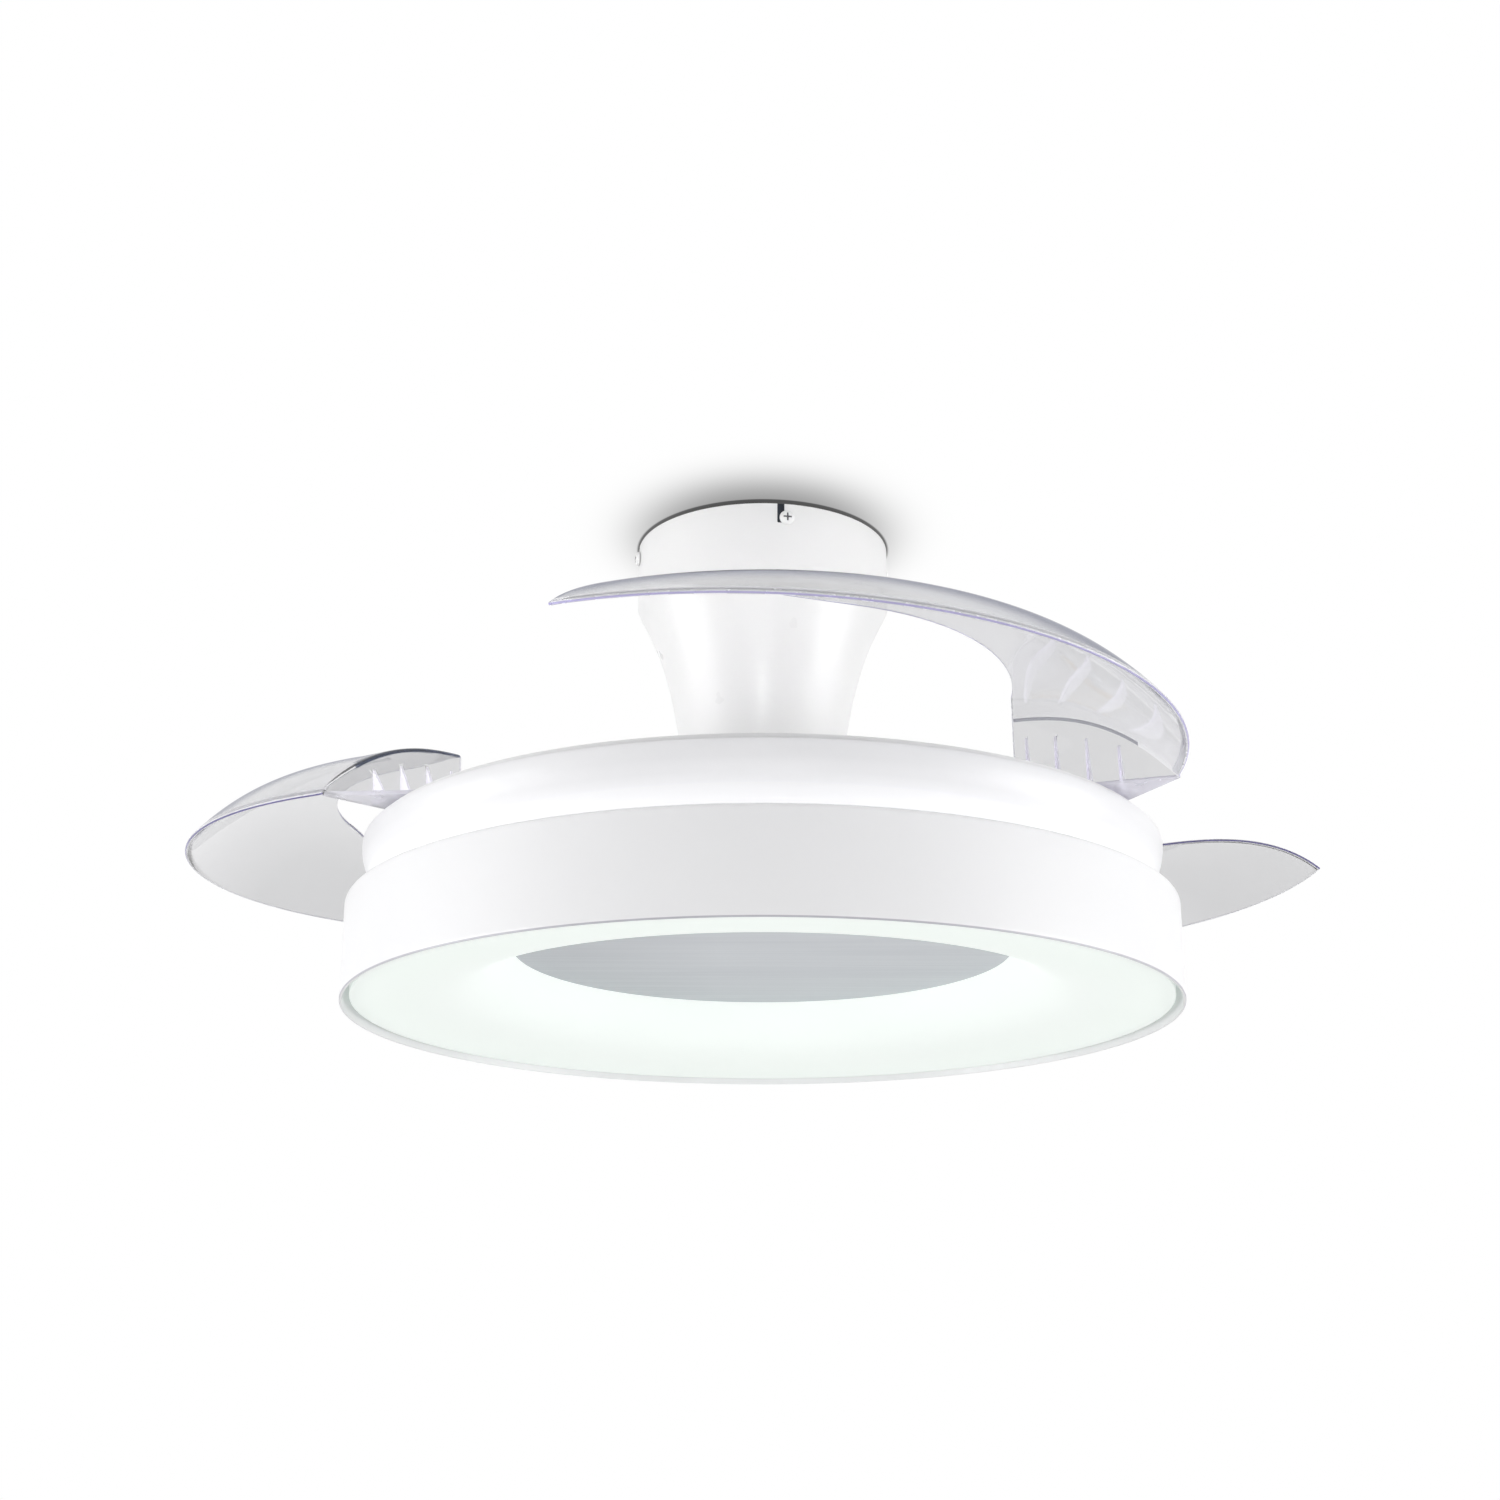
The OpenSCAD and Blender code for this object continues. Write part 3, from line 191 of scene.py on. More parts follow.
M = {}
SATIN = {"vary": 0.012, "bump": 0.05, "depth": 0.0002, "specular": 0.4}
# one white paint in three copies: the canopy's is lighter, painted light; the drum's is a little darker and
# bluer
for key, word, tone in (("paint", "satin", (0.86, 0.86, 0.87)), ("ring", "ring", (0.86, 0.86, 0.87)),
                        ("drum", "drum", (0.83, 0.83, 0.845))):
    M[key] = surface(f"white_{word}_paint", tone, 0.36, tone_scale=4, grain=1500, coat=0.12, **SATIN)
M["canopy"] = surface("white_canopy_paint", (0.88, 0.88, 0.88), 0.33, tone_scale=5, grain=1300,
                      coat=0.15, **SATIN)
M["plastic"] = surface("white_abs", (0.78, 0.78, 0.785), 0.45, vary=0.015, tone_scale=7, grain=2200,
                       bump=0.07, depth=0.0002, specular=0.4)
M["gear"] = surface("ivory_acetal", (0.80, 0.77, 0.66), 0.38, vary=0.03, tone_scale=15, grain=1400,
                    bump=0.05, depth=0.0002, sss=0.1)
M["steel"] = surface("zinc_plated_steel", (0.62, 0.63, 0.65), 0.3, metal=1.0, vary=0.08, tone_scale=60,
                     grain=1800, bump=0.06, depth=0.0002, rough_vary=0.09)
M["bright_steel"] = surface("ground_steel", (0.74, 0.74, 0.75), 0.17, metal=1.0, vary=0.04, tone_scale=40,
                            grain=2600, bump=0.03, depth=0.0001, rough_vary=0.04)
M["alloy"] = surface("die_cast_alloy", (0.66, 0.67, 0.69), 0.46, metal=1.0, vary=0.06, tone_scale=25,
                     grain=1100, bump=0.12, depth=0.0003, rough_vary=0.08)
M["magnet"] = surface("nickel_magnet", (0.30, 0.30, 0.32), 0.33, metal=1.0, vary=0.12, tone_scale=90,
                      grain=1500, bump=0.05, depth=0.0002)
M["bronze"] = surface("sintered_bronze", (0.60, 0.40, 0.17), 0.42, metal=1.0, vary=0.12, tone_scale=160,
                      grain=2600, bump=0.2, depth=0.0003)
M["rubber"] = surface("black_rubber", (0.028, 0.028, 0.03), 0.78, vary=0.15, tone_scale=60, grain=1800,
                      bump=0.15, depth=0.0003, specular=0.3)
# black, so that the canopy's slots show dark: a dark part standing for the shade inside the canopy
M["black"] = surface("black_bracket_slot_shade", (0.035, 0.04, 0.055), 0.5, vary=0.1, tone_scale=20, grain=1500)
M["sheath"] = surface("grey_cable_sheath", (0.13, 0.13, 0.14), 0.5, vary=0.08, tone_scale=50, grain=1500,
                      bump=0.08, depth=0.0002)
M["mask"] = surface("white_solder_mask", (0.80, 0.81, 0.79), 0.28, vary=0.02, tone_scale=30, grain=1200,
                    bump=0.04, depth=0.0001)
M["package"] = surface("led_package", (0.82, 0.82, 0.80), 0.5, vary=0.02, tone_scale=80,
                       grain=2500, bump=0.04)
M["phosphor"] = surface("led_phosphor", (0.90, 0.66, 0.10), 0.42, vary=0.08, tone_scale=500, grain=4000,
                        bump=0.1, depth=0.0002)


def painted_foot_shade(mat, foot, edge, foot_shade):
    """Paints shade on a finish: a thin darker line along the outer foot of a round wall, where it turns
    under.
    """
    tree = mat.node_tree
    base = tree.nodes["Principled BSDF"].inputs["Base Color"]
    tone = base.links[0].from_socket
    low = spread(tree, axis_of(tree, "Z"), 1.0, 0.0, (foot + 0.8) * MM, (foot + 1.4) * MM)
    outside = spread(tree, plan_length(tree), 0.0, 1.0, (edge - 0.6) * MM, (edge - 0.3) * MM)
    tree.links.new(blended(tree, low, tone, blended(tree, outside, tone, foot_shade)), base)


def thrown_light(mat, levels):
    """Adds light that the ledge below throws onto a finish, as (height, strength) pairs."""
    tree = mat.node_tree
    shader = tree.nodes["Principled BSDF"]
    low, high = levels[0][0], levels[-1][0]
    fac = spread(tree, axis_of(tree, "Z"), 0.0, 1.0, low * MM, high * MM)
    tree.links.new(ramp(tree, fac, [((z - low) / (high - low), (e, e, e)) for z, e in levels]),
                   shader.inputs["Emission Color"])
    preset(shader, {"Emission Strength": 1.0})


thrown_light(M["drum"], [(-274.0, 0.46), (-270.0, 0.38), (-266.0, 0.26), (-261.0, 0.13), (-256.0, 0.05),
                         (-248.0, 0.0)])


def laminated():
    """Stacked sheet steel: dark bands every half millimetre up the stack."""
    mat, tree, shader = nodes_of("laminated_iron")
    wave = tree.nodes.new("ShaderNodeTexWave")
    wave.bands_direction = "Z"
    preset(wave, {"Scale": 300.0, "Distortion": 0.3})
    tree.links.new(mapped(tree, {}), wave.inputs["Vector"])
    tree.links.new(ramp(tree, wave.outputs["Fac"], [(0.1, (0.03, 0.03, 0.035)), (0.5, (0.17, 0.17, 0.18))]),
                   shader.inputs["Base Color"])
    bumped(tree, shader, wave.outputs["Fac"], 0.3, 0.0003)
    preset(shader, {"Metallic": 0.8, "Roughness": 0.42})
    return mat


def copper():
    mat, tree, shader = nodes_of("enamelled_copper")
    drift = noise(tree, 300, 2)
    tree.links.new(ramp(tree, drift, [(0.3, (0.52, 0.19, 0.07)), (0.7, (0.74, 0.32, 0.13))]),
                   shader.inputs["Base Color"])
    bumped(tree, shader, noise(tree, 1400, 2), 0.05, 0.0002)
    preset(shader, {"Metallic": 0.9, "Roughness": 0.27, "Coat Weight": 0.5, "Coat Roughness": 0.1})
    return mat


def blended(tree, fac, low, high):
    """Mixes two colours, each a plain colour or a socket."""
    node = tree.nodes.new("ShaderNodeMixRGB")
    tree.links.new(fac, node.inputs["Fac"])
    for socket, value in ((node.inputs["Color1"], low), (node.inputs["Color2"], high)):
        if isinstance(value, tuple):
            socket.default_value = (*value, 1)
        else:
            tree.links.new(value, socket)
    return node.outputs["Color"]


def clear(name, color, rough, wave=0.02, through=1.0, glow=None, root=None, turn=0.0,
          dark_from=0.88, crest=False):
    """Clear moulded polycarbonate with the faint waves of its flow; root is the lighter tone painted towards
    a blade's root, painted light.
    """
    mat, tree, shader = nodes_of(name)
    drift = noise(tree, 6, 2)
    tone = ramp(tree, drift, [(0.3, shade(color, 0.985)), (0.7, shade(color, 1.015))])
    if root:
        # painted light: the sheet turns lighter towards the root
        tone = blended(tree, spread(tree, axis_of(tree, "X", turn), 0.0, 1.0, 0.03, 0.19), tone, root)
        # at a glancing view it turns dark blue and its reflection darkens, on the crest to a dark mirror:
        # partly the blue of the sheet's depth, partly a painted dark reflection
        weight = tree.nodes.new("ShaderNodeLayerWeight")
        preset(weight, {"Blend": 0.5})
        glance = spread(tree, weight.outputs["Facing"], 0.0, 1.0, dark_from, 0.95 if crest else 0.98)
        tone = blended(tree, glance, tone, (0.06, 0.07, 0.13) if crest else (0.10, 0.12, 0.22))
        tree.links.new(blended(tree, glance, (1.0, 1.0, 1.0), (0.2, 0.22, 0.34)),
                       shader.inputs["Specular Tint"])
        if crest:
            tree.links.new(glance, shader.inputs["Metallic"])
    tree.links.new(tone, shader.inputs["Base Color"])
    slow = bumped(tree, shader, noise(tree, 22, 2), wave, 0.002)
    bumped(tree, shader, noise(tree, 900, 2), 0.01, 0.0002, after=slow)
    fine = noise(tree, 60, 3)
    tree.links.new(spread(tree, fine, rough * 0.6, rough * 1.4), shader.inputs["Roughness"])
    preset(shader, {"Transmission Weight": through, "IOR": 1.5})
    if glow:
        # a painted glow: on the edge it stands for light piped along the sheet, on the root and pad for light
        # falling on them
        preset(shader, {"Emission Color": (*glow, 1), "Emission Strength": 1.0})
    return mat


def opal():
    """Lit opal acrylic: it glows evenly, a little more towards the throat."""
    mat, tree, shader = nodes_of("opal_acrylic")
    out = spread(tree, plan_length(tree), 0.0, 1.0, 0.175, 0.284)
    glow = ramp(tree, out, [(0.0, (0.30, 0.32, 0.31)), (0.35, (0.24, 0.262, 0.247)),
                            (0.7, (0.232, 0.262, 0.24)), (0.88, (0.25, 0.283, 0.26)),
                            (1.0, (0.235, 0.262, 0.246))])
    tree.links.new(glow, shader.inputs["Emission Color"])
    preset(shader, {"Emission Strength": 1.0, "Roughness": 0.42})
    drift = noise(tree, 10, 3)
    tree.links.new(ramp(tree, drift, [(0.3, (0.80, 0.835, 0.81)), (0.7, (0.82, 0.85, 0.83))]),
                   shader.inputs["Base Color"])
    bumped(tree, shader, noise(tree, 1600, 2), 0.03, 0.0002)
    return mat


def brushed_plate():
    """Satin plate, brushed along X."""
    mat, tree, shader = nodes_of("brushed_satin_plate")
    lines = noise(tree, 260, 4, (0.02, 1, 1))
    slow = noise(tree, 14, 3, (0.25, 1.6, 1))
    tone = ramp(tree, slow, [(0.3, (0.525, 0.545, 0.582)), (0.7, (0.575, 0.596, 0.628))])
    # painted shade: one side of the brushed face is a little darker
    side = spread(tree, axis_of(tree, "X"), 1.0, 0.0, -0.15, -0.03)
    tree.links.new(blended(tree, side, tone, (0.47, 0.489, 0.522)), shader.inputs["Base Color"])
    tree.links.new(spread(tree, lines, 0.30, 0.42), shader.inputs["Roughness"])
    bumped(tree, shader, lines, 0.12, 0.0002)
    preset(shader, {"Metallic": 0.75})
    return mat


M["iron"] = laminated()
M["copper"] = copper()
# the three blades are one clear sheet; the first blade's copies are lighter, with a brighter edge glow, and
# the other two darker: painted light and shade
for k in range(3):
    first = k == 0
    tint = (0.82, 0.82, 0.83) if first else (0.66, 0.66, 0.67)
    M[f"clear_{k + 1}"] = clear(f"clear_polycarbonate_{k + 1}", tint, 0.03, 0.05, 0.96, turn=120.0 * k,
                                root=(0.89, 0.89, 0.91) if first else (0.74, 0.74, 0.75))
    M[f"upper_{k + 1}"] = clear(f"clear_upper_face_{k + 1}", tint, 0.03, 0.05, 0.96, turn=120.0 * k,
                                root=(0.86, 0.86, 0.88), dark_from=0.66 if first else 0.8, crest=True)
    M[f"edge_{k + 1}"] = clear(f"clear_edge_{k + 1}", (0.46, 0.43, 0.66) if first else (0.16, 0.14, 0.36),
                               0.12, through=0.4, glow=(0.12, 0.11, 0.19) if first else (0.03, 0.028, 0.06))
    # the crease is painted dark, grey on the first blade and dark blue on the others: painted shade in the
    # sheet's corner
    M[f"crease_{k + 1}"] = clear(f"crease_{k + 1}", (0.30, 0.31, 0.35) if first else (0.05, 0.065, 0.12),
                                 0.12, through=0.5)
M["wall"] = clear("clear_wall", (0.71, 0.71, 0.72), 0.05, 0.05, 0.96)
# the rim and the strip along the outer edge are whiter and less clear than the sheet: a painted highlight
# along the blade's edges
M["rim"] = clear("clear_rim", (0.95, 0.95, 0.99), 0.3, through=0.35)
# the root and the pad glow a little: painted light
M["root"] = clear("frosted_root_painted_light", (0.92, 0.91, 0.96), 0.24, through=0.22, glow=(0.06, 0.055, 0.075))
M["strip"] = clear("clear_strip", (0.84, 0.84, 0.89), 0.2, through=0.6)
M["pad"] = clear("clear_pad", (0.88, 0.875, 0.91), 0.22, 0.05, 0.5, glow=(0.05, 0.048, 0.06))
M["opal"] = opal()
# painted shade: a thin darker line along the ring's lower edge
painted_foot_shade(M["ring"], Z_RING, RING_R, (0.48, 0.47, 0.52))
M["brushed"] = brushed_plate()

# ---- mesh helpers


def new_object(name, verts, faces, mats, indices=None):
    mesh = bpy.data.meshes.new(name)
    mesh.from_pydata([tuple(v) for v in verts], [], faces)
    obj = bpy.data.objects.new(name, mesh)
    scene.collection.objects.link(obj)
    for m in mats:
        mesh.materials.append(m)
    if indices:
        mesh.polygons.foreach_set("material_index", indices)
    tidy(obj)
    return obj


WELD, SMOOTH = 2e-6, math.radians(32)


def tidy(obj):
    """Welds doubles, turns the faces outward, and shades smooth up to an angle."""
    bm = bmesh.new()
    bm.from_mesh(obj.data)
    bmesh.ops.remove_doubles(bm, verts=bm.verts, dist=WELD)
    bmesh.ops.dissolve_degenerate(bm, edges=bm.edges, dist=WELD)
    bmesh.ops.recalc_face_normals(bm, faces=bm.faces)
    for f in bm.faces:
        f.smooth = True
    for e in bm.edges:
        e.smooth = not (len(e.link_faces) == 2 and e.calc_face_angle(0) > SMOOTH)
    bm.to_mesh(obj.data)
    bm.free()
    obj.data.update()


def rounded(points, radius, steps=4):
    """A closed outline with its corners rounded; radius is one number or one for each corner."""
    out = []
    n = len(points)
    for i, p in enumerate(points):
        r = radius[i] if hasattr(radius, "__len__") else radius
        a, b, c = Vector(points[i - 1]), Vector(p), Vector(points[(i + 1) % n])
        u, v = a - b, c - b
        if r <= 0 or u.length < 1e-9 or v.length < 1e-9:
            out.append(tuple(b))
            continue
        cosine = max(-1.0, min(1.0, u.normalized().dot(v.normalized())))
        half = math.acos(cosine) / 2
        if half > math.radians(85):
            out.append(tuple(b))
            continue
        cut = min(r / math.tan(half), u.length * 0.48, v.length * 0.48)
        p0, p2 = b + u.normalized() * cut, b + v.normalized() * cut
        for k in range(steps + 1):
            t = k / steps
            out.append(tuple(p0 * (1 - t) ** 2 + b * 2 * t * (1 - t) + p2 * t ** 2))
    return out


def lathe_mesh(profile, count, closed=True):
    """Vertices and faces of an outline of (radius, z) in millimetres, turned about the Z axis."""
    verts, faces = [], []
    n = len(profile)
    for k in range(count):
        a = 2 * math.pi * k / count
        ca, sa = math.cos(a), math.sin(a)
        for r, z in profile:
            verts.append((r * ca * MM, r * sa * MM, z * MM))
    for k in range(count):
        j = (k + 1) % count
        for i in range(n if closed else n - 1):
            q = (i + 1) % n
            faces.append((k * n + i, j * n + i, j * n + q, k * n + q))
    return verts, faces


def lathe(name, profile, mats, count):
    verts, faces = lathe_mesh(profile, count)
    return new_object(name, verts, faces, mats)


def bands(n, levels):
    """Faces between rings of n vertices that follow one another."""
    return [(v * n + i, v * n + (i + 1) % n, (v + 1) * n + (i + 1) % n, (v + 1) * n + i)
            for v in range(levels) for i in range(n)]


def prism(outline, z0, z1):
    """Vertices and faces of a plan outline in millimetres between two heights."""
    n = len(outline)
    verts = [(x * MM, y * MM, z * MM) for z in (z0, z1) for x, y in outline]
    return verts, [tuple(reversed(range(n))), tuple(range(n, 2 * n))] + bands(n, 1)


def moved(verts, matrix):
    return [matrix @ Vector(v) for v in verts]


def turn_z(deg):
    return Matrix.Rotation(math.radians(deg), 4, "Z")


def shift(x, y, z):
    return Matrix.Translation((x * MM, y * MM, z * MM))


class Parts:
    """Gathers shells with a material index for each, for one object."""

    def __init__(self):
        self.verts, self.faces, self.index = [], [], []

    def add(self, shell, matrix=None, mat=0):
        verts, faces = shell
        base = len(self.verts)
        self.verts += moved(verts, matrix) if matrix is not None else [Vector(v) for v in verts]
        self.faces += [tuple(base + i for i in f) for f in faces]
        self.index += [mat] * len(faces)
        return self

    def build(self, name, mats, body, *nodes, slot=None):
        obj = new_object(name, self.verts, self.faces, mats, self.index)
        return placed(obj, body, *nodes, slot=slot)


def placed(obj, body, *nodes, slot=None):
    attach(obj, body)
    if nodes:
        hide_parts(*nodes)
    return obj


def cut(obj, cutters, operation="DIFFERENCE", tolerant=False):
    """Boolean with each cutter in turn, the result kept in the mesh."""
    for cutter in cutters:
        mod = obj.modifiers.new("cut", "BOOLEAN")
        mod.operation = operation
        mod.solver = "EXACT"
        mod.use_hole_tolerant = tolerant
        mod.object = cutter
        bpy.context.view_layer.update()
        graph = bpy.context.evaluated_depsgraph_get()
        mesh = bpy.data.meshes.new_from_object(obj.evaluated_get(graph))
        obj.modifiers.clear()
        old = obj.data
        obj.data = mesh
        bpy.data.meshes.remove(old)
        bpy.data.objects.remove(cutter, do_unlink=True)
    tidy(obj)
    return obj


def shell_of(obj):
    """Takes an object apart into vertices and faces and removes it."""
    mesh = obj.data
    verts = [tuple(v.co) for v in mesh.vertices]
    faces = [tuple(p.vertices) for p in mesh.polygons]
    bpy.data.objects.remove(obj, do_unlink=True)
    bpy.data.meshes.remove(mesh)
    return verts, faces


def tube(points, radius, sides):
    """A round wire along points in metres."""
    verts = []
    n = len(points)
    up = None
    for i, p in enumerate(points):
        along = (points[min(i + 1, n - 1)] - points[max(i - 1, 0)]).normalized()
        if up is None:
            up = along.orthogonal().normalized()
        up = (up - along * up.dot(along)).normalized()
        side = along.cross(up)
        for k in range(sides):
            t = 2 * math.pi * k / sides
            verts.append(p + (up * math.cos(t) + side * math.sin(t)) * radius)
    ends = [tuple(reversed(range(sides))), tuple((n - 1) * sides + k for k in range(sides))]
    return verts, bands(sides, n - 1) + ends


# ---- screws


def screw_shell(shank, length, head_r, head_t):
    """Pan-head screw that points down, with a cross recess and a ringed thread."""
    profile = [(0, head_t), (head_r * 0.35, head_t * 0.985), (head_r * 0.62, head_t * 0.92),
               (head_r * 0.83, head_t * 0.76), (head_r * 0.95, head_t * 0.5), (head_r, head_t * 0.2),
               (head_r * 0.985, 0), (shank, 0), (shank, -0.4)]
    z, pitch = -0.7, max(0.5, shank * 0.36)
    while z > -length + 1.2 * pitch:
        profile += [(shank * 0.86, z), (shank, z - pitch / 2)]
        z -= pitch
    profile += [(shank * 0.8, -length + 0.3), (shank * 0.5, -length), (0, -length)]
    verts, faces = lathe_mesh(profile, 28, closed=False)
    body = new_object("screw", verts, faces, [])
    for deg in (0, 90):
        w, run, deep = head_r * 0.11, head_r * 0.55, head_t * 0.42
        c = Parts()
        outline = [(-run, head_t * 1.2), (run, head_t * 1.2), (run, head_t * 0.7),
                   (run * 0.45, head_t - deep - 0.2), (-run * 0.45, head_t - deep - 0.2),
                   (-run, head_t * 0.7)]
        shell = prism(outline, -w, w)
        c.add(shell, turn_z(deg) @ Matrix.Rotation(math.radians(90), 4, "X"))
        cutter = new_object("cross", c.verts, c.faces, [])
        cut(body, [cutter])
    return shell_of(body)


def screws(name, node, body, spec, places, slot="steel", mat="steel", extra=None, cross=None):
    verts, faces = screw_shell(*spec)
    parts = Parts()

    def sunk(face):
        c = sum((Vector(verts[i]) for i in face), Vector()) / len(face) / MM
        return 0 < c.z < 0.9 * spec[3] and math.hypot(c.x, c.y) < 0.6 * spec[2]

    for place in places:
        parts.add((verts, [f for f in faces if not (cross and sunk(f))]), place)
        # with cross, the faces sunk in the recess take that darker finish: painted shade
        if cross:
            parts.add((verts, [f for f in faces if sunk(f)]), place, 1)
        if extra:
            parts.add(extra, place)
    return parts.build(name, [M[mat]] + ([M[cross]] if cross else []), body, node, slot=slot)


def circle(count, radius, first=0.0):
    return [turn_z(first + i * 360 / count) @ shift(radius, 0, 0) for i in range(count)]


right = Matrix.Rotation(math.radians(90), 4, "Y")
down = Matrix.Rotation(math.radians(180), 4, "X")
pivots = [turn_z(-120 * k) @ shift(PIVOT_X, PIVOT_Y, 0) for k in range(3)]
boss_places = [turn_z(PIVOT_TURN + t + 120 * k) @ shift(246, 0, 0)
               for t in (32, 60, 88) for k in range(3)]
# plan x becomes the way round, plan y the height, and the prism's height the radius
UPRIGHT = Matrix(((0, 0, 1, 0), (1, 0, 0, 0), (0, 1, 0, 0), (0, 0, 0, 1)))

# the white canopy screws have their cross recess painted dark grey: painted shade
screws("canopy_screw_set", "canopy_screws", "housing", (2.2, 8.1, 5.4, 3.0),
       [turn_z(FIRST_SLOT + 90 * i) @ shift(92.3, 0, -11.3) @ right for i in range(4)],
       mat="canopy", cross="sheath")
screws("cover_screw_set", "cover_screws", "rotor", (1.6, 11.5, 2.8, 0.9),
       [p @ shift(0, 0, Z_COVER_TOP) for p in boss_places])
screws("flange_screw_set", "flange_screws", "housing", (2.0, 7.5, 4.0, 2.6),
       [p @ shift(0, 0, -7.5) @ down for p in circle(4, 26, 45)])
screws("bell_screw_set", "bell_screws", "rotor", (1.6, 5.6, 3.0, 2.0),
       [p @ shift(0, 0, Z_MID + 1.8) for p in circle(6, 86)])
screws("carrier_screw_set", "carrier_screws", "rotor", (2.0, 7.5, 3.6, 2.0),
       [p @ shift(0, 0, Z_CARRIER_TOP + 1) for p in circle(6, 30, 15)])
screws("ring_screw_set", "ring_screws", "housing", (1.6, 5.0, 3.0, 1.8),
       [p @ shift(0, 0, Z_PAN) @ down for p in circle(6, RING_SCREWS_R)])
washer = lathe_mesh(rounded([(2.2, -1.5), (10.5, -1.5), (10.5, 0), (2.2, 0)], 0.35), 64)
screws("pivot_retainer_set", "pivot_retainers", "rotor", (2.0, 12.5, 4.4, 3.0),
       [p @ shift(0, 0, Z_PIN_TOP + 1.5) for p in pivots], extra=washer)
hub_screw = screw_shell(1.8, 10.0, 3.2, 2.0)
for k in range(3):
    parts = Parts()
    for q in circle(3, HUB_SCREWS_R, 90):
        parts.add(hub_screw, pivots[k] @ q @ shift(0, 0, Z_PAD_TOP))
    parts.build(f"blade_screw_set_{k + 1}", [M["steel"]], f"blade_{k + 1}_body", f"blade_screws_{k + 1}",
                slot="steel")

# ---- canopy


def flare(depth):
    return FLARE_R + (CANOPY_R - FLARE_R) * math.exp(-depth / FLARE_FALL)


drop = -CANOPY_BAND - Z_NECK
wall = CANOPY_R - CANOPY_IN_R
steps = 44
outer = [(flare(drop * i / steps), -CANOPY_BAND - drop * i / steps) for i in range(1, steps + 1)]
inner = [(flare(drop * i / steps) - wall, -CANOPY_BAND - drop * i / steps) for i in range(steps, -1, -1)]
lip = [(CANOPY_IN_R, -0.9), (90.65, -0.45), (91.1, -0.3), (91.5, -0.3), (91.85, -0.45), (CANOPY_R, -0.9)]
band = [(CANOPY_R, z) for z in (-2.0, -16.0, -30.0, -43.0)] + [(91.98, -45.2), (91.85, -46.4)]
profile = lip + band + outer[:-1]
profile += [(outer[-1][0], outer[-1][1] + 0.5), (outer[-1][0] - 0.35, outer[-1][1]),
            (inner[0][0] + 0.35, inner[0][1]), (inner[0][0], inner[0][1] + 0.5)]
profile += inner[1:]
canopy = lathe("canopy_shell", profile, [M["canopy"]], 192)
cutters = []
for i in range(4):
    outline = [(-6.76, 3), (-6.76, -15), (-1.56, -15), (-1.56, -14), (2.7, -14), (2.7, -8.6), (-1.56, -8.6),
               (-1.56, 3)]
    outline = rounded(outline, [0, 1.0, 0.8, 0.3, 1.6, 1.6, 0.5, 0])
    verts, faces = prism(outline, 86, 96)
    place = turn_z(FIRST_SLOT + 90 * i) @ UPRIGHT
    cutters.append(new_object(f"slot_{i}", moved(verts, place), faces, []))
cut(canopy, cutters)
placed(canopy, "housing", "canopy", slot="white_paint")

# ---- drum, light ring and diffuser


def drum_side(deg):
    a = math.radians(deg)
    return DRUM_R - 66 * (1 - math.cos(a)), Z_PAN_TOP + 46.2 * (1 - math.sin(a))


outer = [drum_side(90 * i / 40) for i in range(41)]
inner = [(DRUM_IN_R - 64 * (1 - math.cos(math.radians(90 * i / 40))),
          Z_FLOOR + 44.2 * (1 - math.sin(math.radians(90 * i / 40)))) for i in range(40, -1, -1)]
profile = [(DRUM_IN_R, Z_RIM - 0.8), (278.55, Z_RIM - 0.2), (279.0, Z_RIM), (279.6, Z_RIM),
           (280.05, Z_RIM - 0.2), (DRUM_R, Z_RIM - 0.8)] + outer
profile += [(r, Z_PAN_TOP) for r in (120, 60, 8.8)] + [(r, Z_FLOOR) for r in (8.8, 60, 120)] + inner
placed(lathe("drum_shell", profile, [M["drum"]], 240), "housing", "drum", slot="white_paint")

top_in = drum_side(math.degrees(math.asin(1 - 6.5 / 46.2)))[0] + 2
profile = [(RING_IN_R, Z_RING + 0.5), (288.2, Z_RING + 0.1), (288.6, Z_RING), (289.3, Z_RING),
           (289.8, Z_RING + 0.15)]
profile += [(RING_R, Z_RING + up) for up in (0.6, 3, 20, 40, 60)] + [(RING_R, Z_RING_TOP - 4)]
profile += [(287 + 3 * math.cos(math.radians(a)), Z_RING_TOP - 3 + 3 * math.sin(math.radians(a)))
            for a in range(0, 91, 10)]
profile += [(282, Z_RING_TOP), (top_in + 1, Z_RING_TOP), (top_in + 0.2, Z_RING_TOP - 0.2),
            (top_in, Z_RING_TOP - 0.8), (top_in, Z_RING_TOP - 1.6), (top_in + 0.4, Z_RING_TOP - 2)]
profile += [(282, Z_RING_TOP - 2), (286.6, Z_RING_TOP - 2), (287.6, Z_RING_TOP - 2.4),
            (RING_IN_R, Z_RING_TOP - 3.4), (RING_IN_R, Z_RING + 40)]
parts = Parts().add(lathe_mesh(profile, 240))
boss = lathe_mesh(rounded([(1.6, Z_PAN_TOP), (4.0, Z_PAN_TOP), (4.0, Z_RING_TOP - 1.9),
                           (1.6, Z_RING_TOP - 1.9)], 0.3), 28)
for p in circle(6, RING_SCREWS_R):
    parts.add(boss, p)


